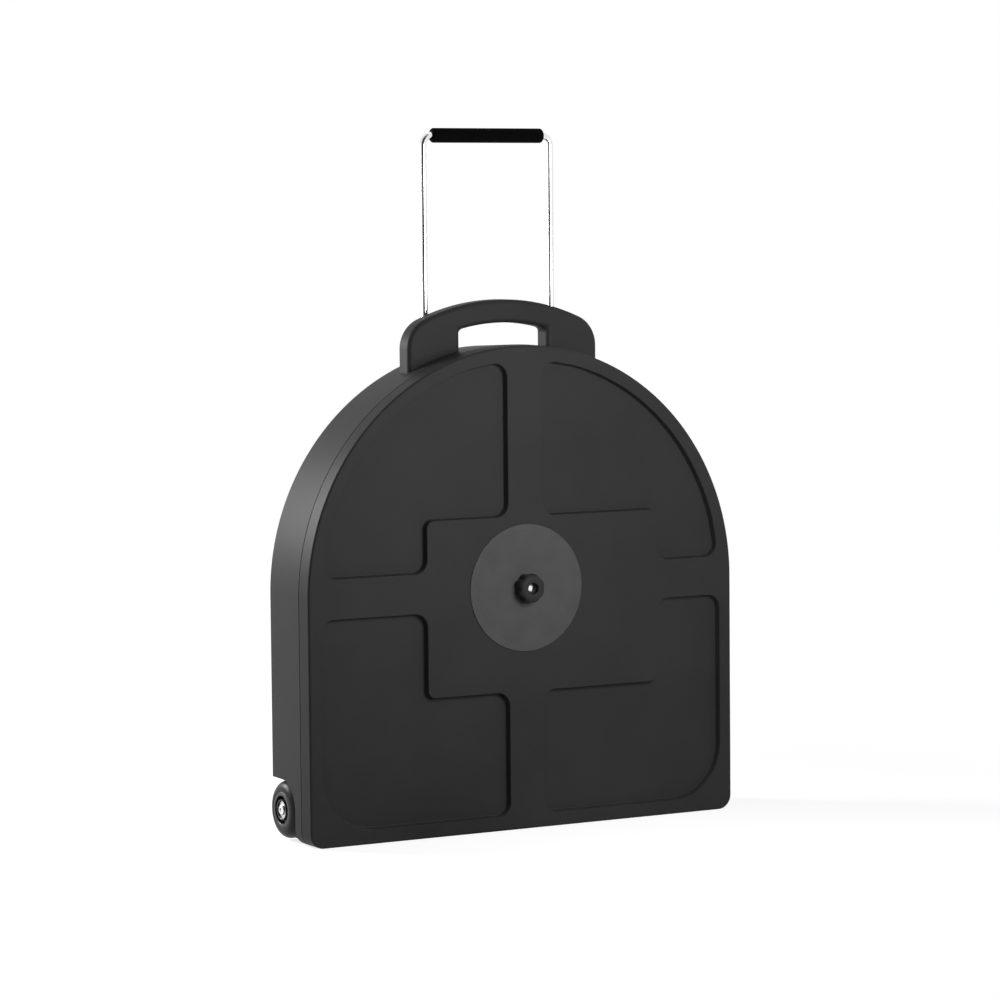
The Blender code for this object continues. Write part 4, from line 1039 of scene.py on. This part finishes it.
class CYMBALCASE_OT_spindle(bpy.types.Operator):
    """Build the spindle with its thread"""

    bl_idname = "cymbal_case.spindle"
    bl_label = "Threaded spindle"

    def execute(self, context):
        pitch = context.scene.cymbal_case_sizes.thread_pitch
        depth = THREAD_DEPTH * pitch
        length = SPINDLE_HIGH.y - SPINDLE_LOW.y
        steps = int(length / pitch * THREAD_RINGS)
        rings = []
        for step in range(steps + 1):
            height = length * (1 - step / steps)
            end = min(1.0, (length - height) / pitch + THREAD_RUN_OUT)
            points = []
            for index in range(THREAD_SIDES):
                phase = (height / pitch - index / THREAD_SIDES) % 1.0
                reach = SPINDLE_RADIUS - depth * abs(2 * phase - 1)
                reach = min(reach, SPINDLE_RADIUS - depth * (1 - end))
                angle = 2 * math.pi * index / THREAD_SIDES
                points.append((reach * math.cos(angle), reach * math.sin(angle), height))
            rings.append(points)
        spindle = loft("threaded_spindle", rings)
        spindle = placed(spindle, facing(FORWARD, (0.0, SPINDLE_HIGH.y, SPINDLE_Z)))
        show(spindle, "chrome", "case", "spindle_rod")
        return {"FINISHED"}


class CYMBALCASE_OT_pull_handle(bpy.types.Operator):
    """Build the bent rod and its foam grip"""

    bl_idname = "cymbal_case.pull_handle"
    bl_label = "Pull handle"

    def execute(self, context):
        route = [(-ROD_X, ROD_LOW.z)]
        route += arc(ROD_BEND - ROD_X, GRIP_Z - ROD_BEND, ROD_BEND, 180, 90, BEND_STEPS)
        route += arc(ROD_X - ROD_BEND, GRIP_Z - ROD_BEND, ROD_BEND, 90, 0, BEND_STEPS)
        route += [(ROD_X, ROD_LOW.z)]
        rings = []
        last = len(route) - 1
        for index, (x, z) in enumerate(route):
            before = Vector((*route[max(0, index - 1)], 0.0))
            after = Vector((*route[min(last, index + 1)], 0.0))
            ahead = (after - before).normalized()
            points = []
            for corner in range(ROD_SIDES):
                angle = 2 * math.pi * corner / ROD_SIDES
                out = ROD_RADIUS * math.cos(angle)
                points.append((x - ahead.y * out, ROD_Y + ROD_RADIUS * math.sin(angle), z + ahead.x * out))
            rings.append(points)
        show(smooth(loft("bent_rod", rings)), "chrome", "pull_handle", "handle_rod")
        low, high = box_corners("handle_grip")
        radius = (high.y - low.y) / 2
        half = (high.x - low.x) / 2
        bore = ROD_RADIUS + SEAT_GAP
        profile = [(bore, half)]
        for step in range(GRIP_STEPS + 1):
            angle = math.pi / 2 * step / GRIP_STEPS
            reach = radius - GRIP_END * (1 - math.sin(angle))
            profile.append((reach, half - GRIP_END * (1 - math.cos(angle))))
        profile += [(reach, -height) for reach, height in reversed(profile)]
        grip = placed(turned("foam_grip", profile), facing((1, 0, 0), (0.0, ROD_Y, GRIP_Z)))
        show(smooth(grip), "foam", "pull_handle", "handle_grip")
        return {"FINISHED"}


class CYMBALCASE_OT_wheels(bpy.types.Operator):
    """Build the tyres and the spoked cores"""

    bl_idname = "cymbal_case.wheels"
    bl_label = "Wheels"

    def execute(self, context):
        sizes = context.scene.cymbal_case_sizes
        for name, side in SIDES:
            place = facing((side, 0, 0), (side * WHEEL_X, WHEEL_Y, WHEEL_Z))
            bore = CORE_RADIUS + SEAT_GAP
            profile = [(bore, WHEEL_HALF - TYRE_SEAT), (bore + TYRE_LIP, WHEEL_HALF)]
            for step in range(RIM_STEPS + 1):
                angle = math.pi / 2 - math.pi * step / RIM_STEPS
                reach = WHEEL_RADIUS - WHEEL_HALF + WHEEL_HALF * math.cos(angle)
                profile.append((reach, WHEEL_HALF * math.sin(angle)))
            profile += [(bore + TYRE_LIP, -WHEEL_HALF), (bore, TYRE_SEAT - WHEEL_HALF)]
            tyre = placed(turned(f"tread_{name}", profile, WHEEL_STEPS), place)
            show(smooth(tyre), "tyre", f"wheel_{name}", f"tyre_{name}")
            core = placed(self.core(f"spoked_core_{name}", sizes.spokes), place)
            show(smooth(core), "nylon", f"wheel_{name}", f"wheel_core_{name}")
        return {"FINISHED"}

    def core(self, name, spokes):
        """A core: rim, hub and thin web, with spokes on both faces."""
        upper = [
            (BEARING_SEAT, WHEEL_HALF - CORE_EDGE),
            (BEARING_SEAT + CORE_EDGE, WHEEL_HALF),
            (CORE_HUB_RADIUS - CORE_EDGE, WHEEL_HALF),
            (CORE_HUB_RADIUS, WHEEL_HALF - 2 * CORE_EDGE),
            (CORE_HUB_RADIUS, CORE_WEB),
            (CORE_RIM_RADIUS, CORE_WEB),
            (CORE_RIM_RADIUS, WHEEL_HALF - CORE_EDGE),
            (CORE_RIM_RADIUS + CORE_EDGE, WHEEL_HALF),
            (CORE_RADIUS - CORE_EDGE, WHEEL_HALF),
            (CORE_RADIUS, WHEEL_HALF - CORE_EDGE),
        ]
        lower = [(radius, -height) for radius, height in reversed(upper)]
        inner = [
            (BEARING_SEAT, -BEARING_LAND),
            (BEARING_STEP, -BEARING_LAND),
            (BEARING_STEP, BEARING_LAND),
            (BEARING_SEAT, BEARING_LAND),
        ]
        core = turned(name, upper + lower + inner, WHEEL_STEPS)
        ribs = []
        for index in range(spokes):
            rib = box(
                f"spoke_{index}",
                (CORE_HUB_RADIUS - 0.5 * MM, -SPOKE_HALF, SPOKE_SUNK - WHEEL_HALF),
                (CORE_RIM_RADIUS + 0.8 * MM, SPOKE_HALF, WHEEL_HALF - SPOKE_SUNK),
            )
            ribs.append(placed(rib, Matrix.Rotation(2 * math.pi * index / spokes, 4, "Z")))
        return boolean(core, ribs, "UNION")


class CYMBALCASE_OT_hardware(bpy.types.Operator):
    """Give every piece that stays as it is its finish"""

    bl_idname = "cymbal_case.hardware"
    bl_label = "Small hardware"

    def execute(self, context):
        for name, side in SIDES:
            low, high = box_corners(f"axle_bolt_{name}")
            head = (high.z - low.z) / 2
            face = max(abs(low.x), abs(high.x))
            end = min(abs(low.x), abs(high.x))
            top = face - end
            base = top - BOLT_HEAD_HEIGHT
            profile = [(0.0, top)]
            profile += [(head * share, top - drop) for share, drop in BOLT_DOME]
            profile += [(head, base + BOLT_HEAD_RIM), (head, base), (BOLT_RADIUS, base)]
            profile += [(BOLT_RADIUS, BOLT_CHAMFER), (BOLT_RADIUS - BOLT_CHAMFER, 0.0), (0.0, 0.0)]
            bolt = turned(f"button_bolt_{name}", profile)
            socket = rod(f"socket_{name}", SOCKET_RADIUS, top - SOCKET_DEPTH, top + MARGIN, 6)
            bolt = placed(boolean(bolt, [socket]), facing((side, 0, 0), (side * end, WHEEL_Y, WHEEL_Z)))
            show(smooth(bolt), "chrome", "case", f"axle_bolt_{name}")
        for node, obj in frame["nodes"].items():
            obj.data.materials.clear()
            obj.data.materials.append(finish(SLOTS[node]))
        return {"FINISHED"}


def area_light(name, place, size, watts):
    """A square soft light aimed at the case."""
    data = bpy.data.lights.new(name, "AREA")
    data.shape = "SQUARE"
    data.size = size
    data.energy = watts
    light = bpy.data.objects.new(name, data)
    light.matrix_world = facing(Vector(place) - Vector(LIGHT_TARGET), place)
    light.visible_camera = False
    bpy.context.scene.collection.objects.link(light)


def combine(nodes, links, kind, operation, first, second=None):
    """A math node of a kind, fed with a socket and with a socket or a constant."""
    node = nodes.new(kind)
    node.operation = operation
    links.new(first, node.inputs[0])
    if isinstance(second, bpy.types.NodeSocket):
        links.new(second, node.inputs[1])
    elif second is not None:
        node.inputs[1].default_value = second
    return node


def smooth_step(nodes, links, value, start, end, before, after):
    """A value that goes smoothly from before to after, between start and end."""
    node = nodes.new("ShaderNodeMapRange")
    node.interpolation_type = "SMOOTHSTEP"
    node.inputs["From Min"].default_value = start
    node.inputs["From Max"].default_value = end
    node.inputs["To Min"].default_value = before
    node.inputs["To Max"].default_value = after
    links.new(value, node.inputs["Value"])
    return node.outputs["Result"]


def seen_as_white(nodes, links, place):
    """1 to the camera, and to mirror rays except towards a dark flag beside the camera."""
    path = nodes.new("ShaderNodeLightPath").outputs
    flag = (-math.sin(FLAG_YAW), -math.cos(FLAG_YAW), 0.0)
    level = combine(nodes, links, "ShaderNodeVectorMath", "MULTIPLY", place, (1.0, 1.0, 0.0))
    ahead = combine(nodes, links, "ShaderNodeVectorMath", "NORMALIZE", level.outputs["Vector"])
    beside = combine(nodes, links, "ShaderNodeVectorMath", "DOT_PRODUCT", ahead.outputs["Vector"], flag)
    edge = math.cos(FLAG_HALF)
    core = math.cos(FLAG_HALF * FLAG_CORE)
    bright = smooth_step(nodes, links, beside.outputs["Value"], edge, core, 1.0, FLAG_LEVEL)
    glossy = path["Is Glossy Ray"]
    rays = combine(nodes, links, "ShaderNodeMath", "MAXIMUM", glossy, path["Is Transmission Ray"])
    mirrored = combine(nodes, links, "ShaderNodeMath", "MULTIPLY", rays.outputs["Value"], bright)
    camera = path["Is Camera Ray"]
    seen = combine(nodes, links, "ShaderNodeMath", "MAXIMUM", camera, mirrored.outputs["Value"])
    return seen.outputs["Value"]


def white_floor():
    """A pale floor that keeps the object's shadow and reads white beyond it."""
    bm = bmesh.new()
    bmesh.ops.create_grid(bm, x_segments=1, y_segments=1, size=FLOOR_HALF)
    floor = new_object("floor", bm)
    bpy.context.scene.collection.objects.link(floor)
    recipe = Recipe("pale_floor", (0.45, 0.45, 0.45), 0.9)
    recipe.shader.inputs["Specular IOR Level"].default_value = 0.0
    nodes = recipe.nodes
    links = recipe.links
    reach = combine(nodes, links, "ShaderNodeVectorMath", "LENGTH", recipe.place)
    rise = smooth_step(nodes, links, reach.outputs["Value"], FLOOR_NEAR, FLOOR_FAR, FLOOR_GLOW, 1.0)
    white = seen_as_white(nodes, links, recipe.place)
    strength = combine(nodes, links, "ShaderNodeMath", "MULTIPLY", white, rise)
    glow = nodes.new("ShaderNodeEmission")
    glow.inputs["Color"].default_value = (1.0, 1.0, 1.0, 1.0)
    links.new(strength.outputs["Value"], glow.inputs["Strength"])
    both = nodes.new("ShaderNodeAddShader")
    links.new(recipe.shader.outputs["BSDF"], both.inputs[0])
    links.new(glow.outputs["Emission"], both.inputs[1])
    links.new(both.outputs["Shader"], nodes["Material Output"].inputs["Surface"])
    floor.data.materials.append(recipe.material)


def white_world(ambient):
    """A dim even room, white to the camera and in reflections."""
    world = bpy.data.worlds.new("studio")
    bpy.context.scene.world = world
    world.use_nodes = True
    nodes = world.node_tree.nodes
    links = world.node_tree.links
    place = nodes.new("ShaderNodeTexCoord").outputs["Generated"]
    white = seen_as_white(nodes, links, place)
    level = combine(nodes, links, "ShaderNodeMath", "MAXIMUM", white, ambient)
    room = nodes["Background"]
    room.inputs["Color"].default_value = (1.0, 1.0, 1.0, 1.0)
    links.new(level.outputs["Value"], room.inputs["Strength"])


def place_camera():
    """The camera at the photograph's viewing angle."""
    ahead = Vector(
        (
            math.sin(CAMERA_YAW) * math.cos(CAMERA_PITCH),
            math.cos(CAMERA_YAW) * math.cos(CAMERA_PITCH),
            -math.sin(CAMERA_PITCH),
        )
    )
    level = Vector((math.cos(CAMERA_YAW), -math.sin(CAMERA_YAW), 0.0))
    steep = level.cross(ahead)
    right = level * math.cos(CAMERA_ROLL) + steep * math.sin(CAMERA_ROLL)
    up = steep * math.cos(CAMERA_ROLL) - level * math.sin(CAMERA_ROLL)
    data = bpy.data.cameras.new("camera")
    data.lens = CAMERA_LENS
    data.sensor_width = SENSOR_WIDTH
    data.clip_end = 100.0
    camera = bpy.data.objects.new("camera", data)
    axes = Matrix((right, up, -ahead)).transposed()
    camera.matrix_world = Matrix.Translation(CAMERA_PLACE) @ axes.to_4x4()
    bpy.context.scene.collection.objects.link(camera)
    bpy.context.scene.camera = camera


class CYMBALCASE_OT_stage(bpy.types.Operator):
    """Build the floor, the lights and the camera"""

    bl_idname = "cymbal_case.stage"
    bl_label = "Stage"

    def execute(self, context):
        look = context.scene.cymbal_case_stage
        context.scene.view_settings.view_transform = "Standard"
        area_light("front_light", FRONT_LIGHT_PLACE, NARROW_LIGHT, look.front_light)
        area_light("top_light", TOP_LIGHT_PLACE, WIDE_LIGHT, look.top_light)
        area_light("rim_light", RIM_LIGHT_PLACE, NARROW_LIGHT, look.rim_light)
        white_floor()
        white_world(look.ambient)
        place_camera()
        return {"FINISHED"}


class CYMBALCASE_PT_panel(bpy.types.Panel):
    """The case's operators and settings"""

    bl_idname = "CYMBALCASE_PT_panel"
    bl_label = "Cymbal case"
    bl_space_type = "VIEW_3D"
    bl_region_type = "UI"
    bl_category = "Cymbal Case"

    def draw(self, context):
        for operator in OPERATORS:
            self.layout.operator(operator.bl_idname)
        scene = context.scene
        for group in (scene.cymbal_case_sizes, scene.cymbal_case_colours, scene.cymbal_case_stage):
            for name in type(group).__annotations__:
                self.layout.prop(group, name)


OPERATORS = (
    CYMBALCASE_OT_lid,
    CYMBALCASE_OT_tub,
    CYMBALCASE_OT_foam,
    CYMBALCASE_OT_felts,
    CYMBALCASE_OT_knob,
    CYMBALCASE_OT_spindle,
    CYMBALCASE_OT_pull_handle,
    CYMBALCASE_OT_wheels,
    CYMBALCASE_OT_hardware,
    CYMBALCASE_OT_stage,
)
CLASSES = (CaseSizes, CaseColours, StageLook, *OPERATORS, CYMBALCASE_PT_panel)


def register():
    """Register the classes and their settings."""
    for item in CLASSES:
        bpy.utils.register_class(item)
    bpy.types.Scene.cymbal_case_sizes = PointerProperty(type=CaseSizes)
    bpy.types.Scene.cymbal_case_colours = PointerProperty(type=CaseColours)
    bpy.types.Scene.cymbal_case_stage = PointerProperty(type=StageLook)


def unregister():
    """Take the settings and the classes away again."""
    del bpy.types.Scene.cymbal_case_stage
    del bpy.types.Scene.cymbal_case_colours
    del bpy.types.Scene.cymbal_case_sizes
    for item in reversed(CLASSES):
        bpy.utils.unregister_class(item)


def main():
    """Build every piece."""
    register()
    bpy.ops.cymbal_case.lid()
    bpy.ops.cymbal_case.tub()
    bpy.ops.cymbal_case.foam()
    bpy.ops.cymbal_case.felts()
    bpy.ops.cymbal_case.knob()
    bpy.ops.cymbal_case.spindle()
    bpy.ops.cymbal_case.pull_handle()
    bpy.ops.cymbal_case.wheels()
    bpy.ops.cymbal_case.hardware()
    bpy.ops.cymbal_case.stage()


if __name__ == "__main__":
    main()
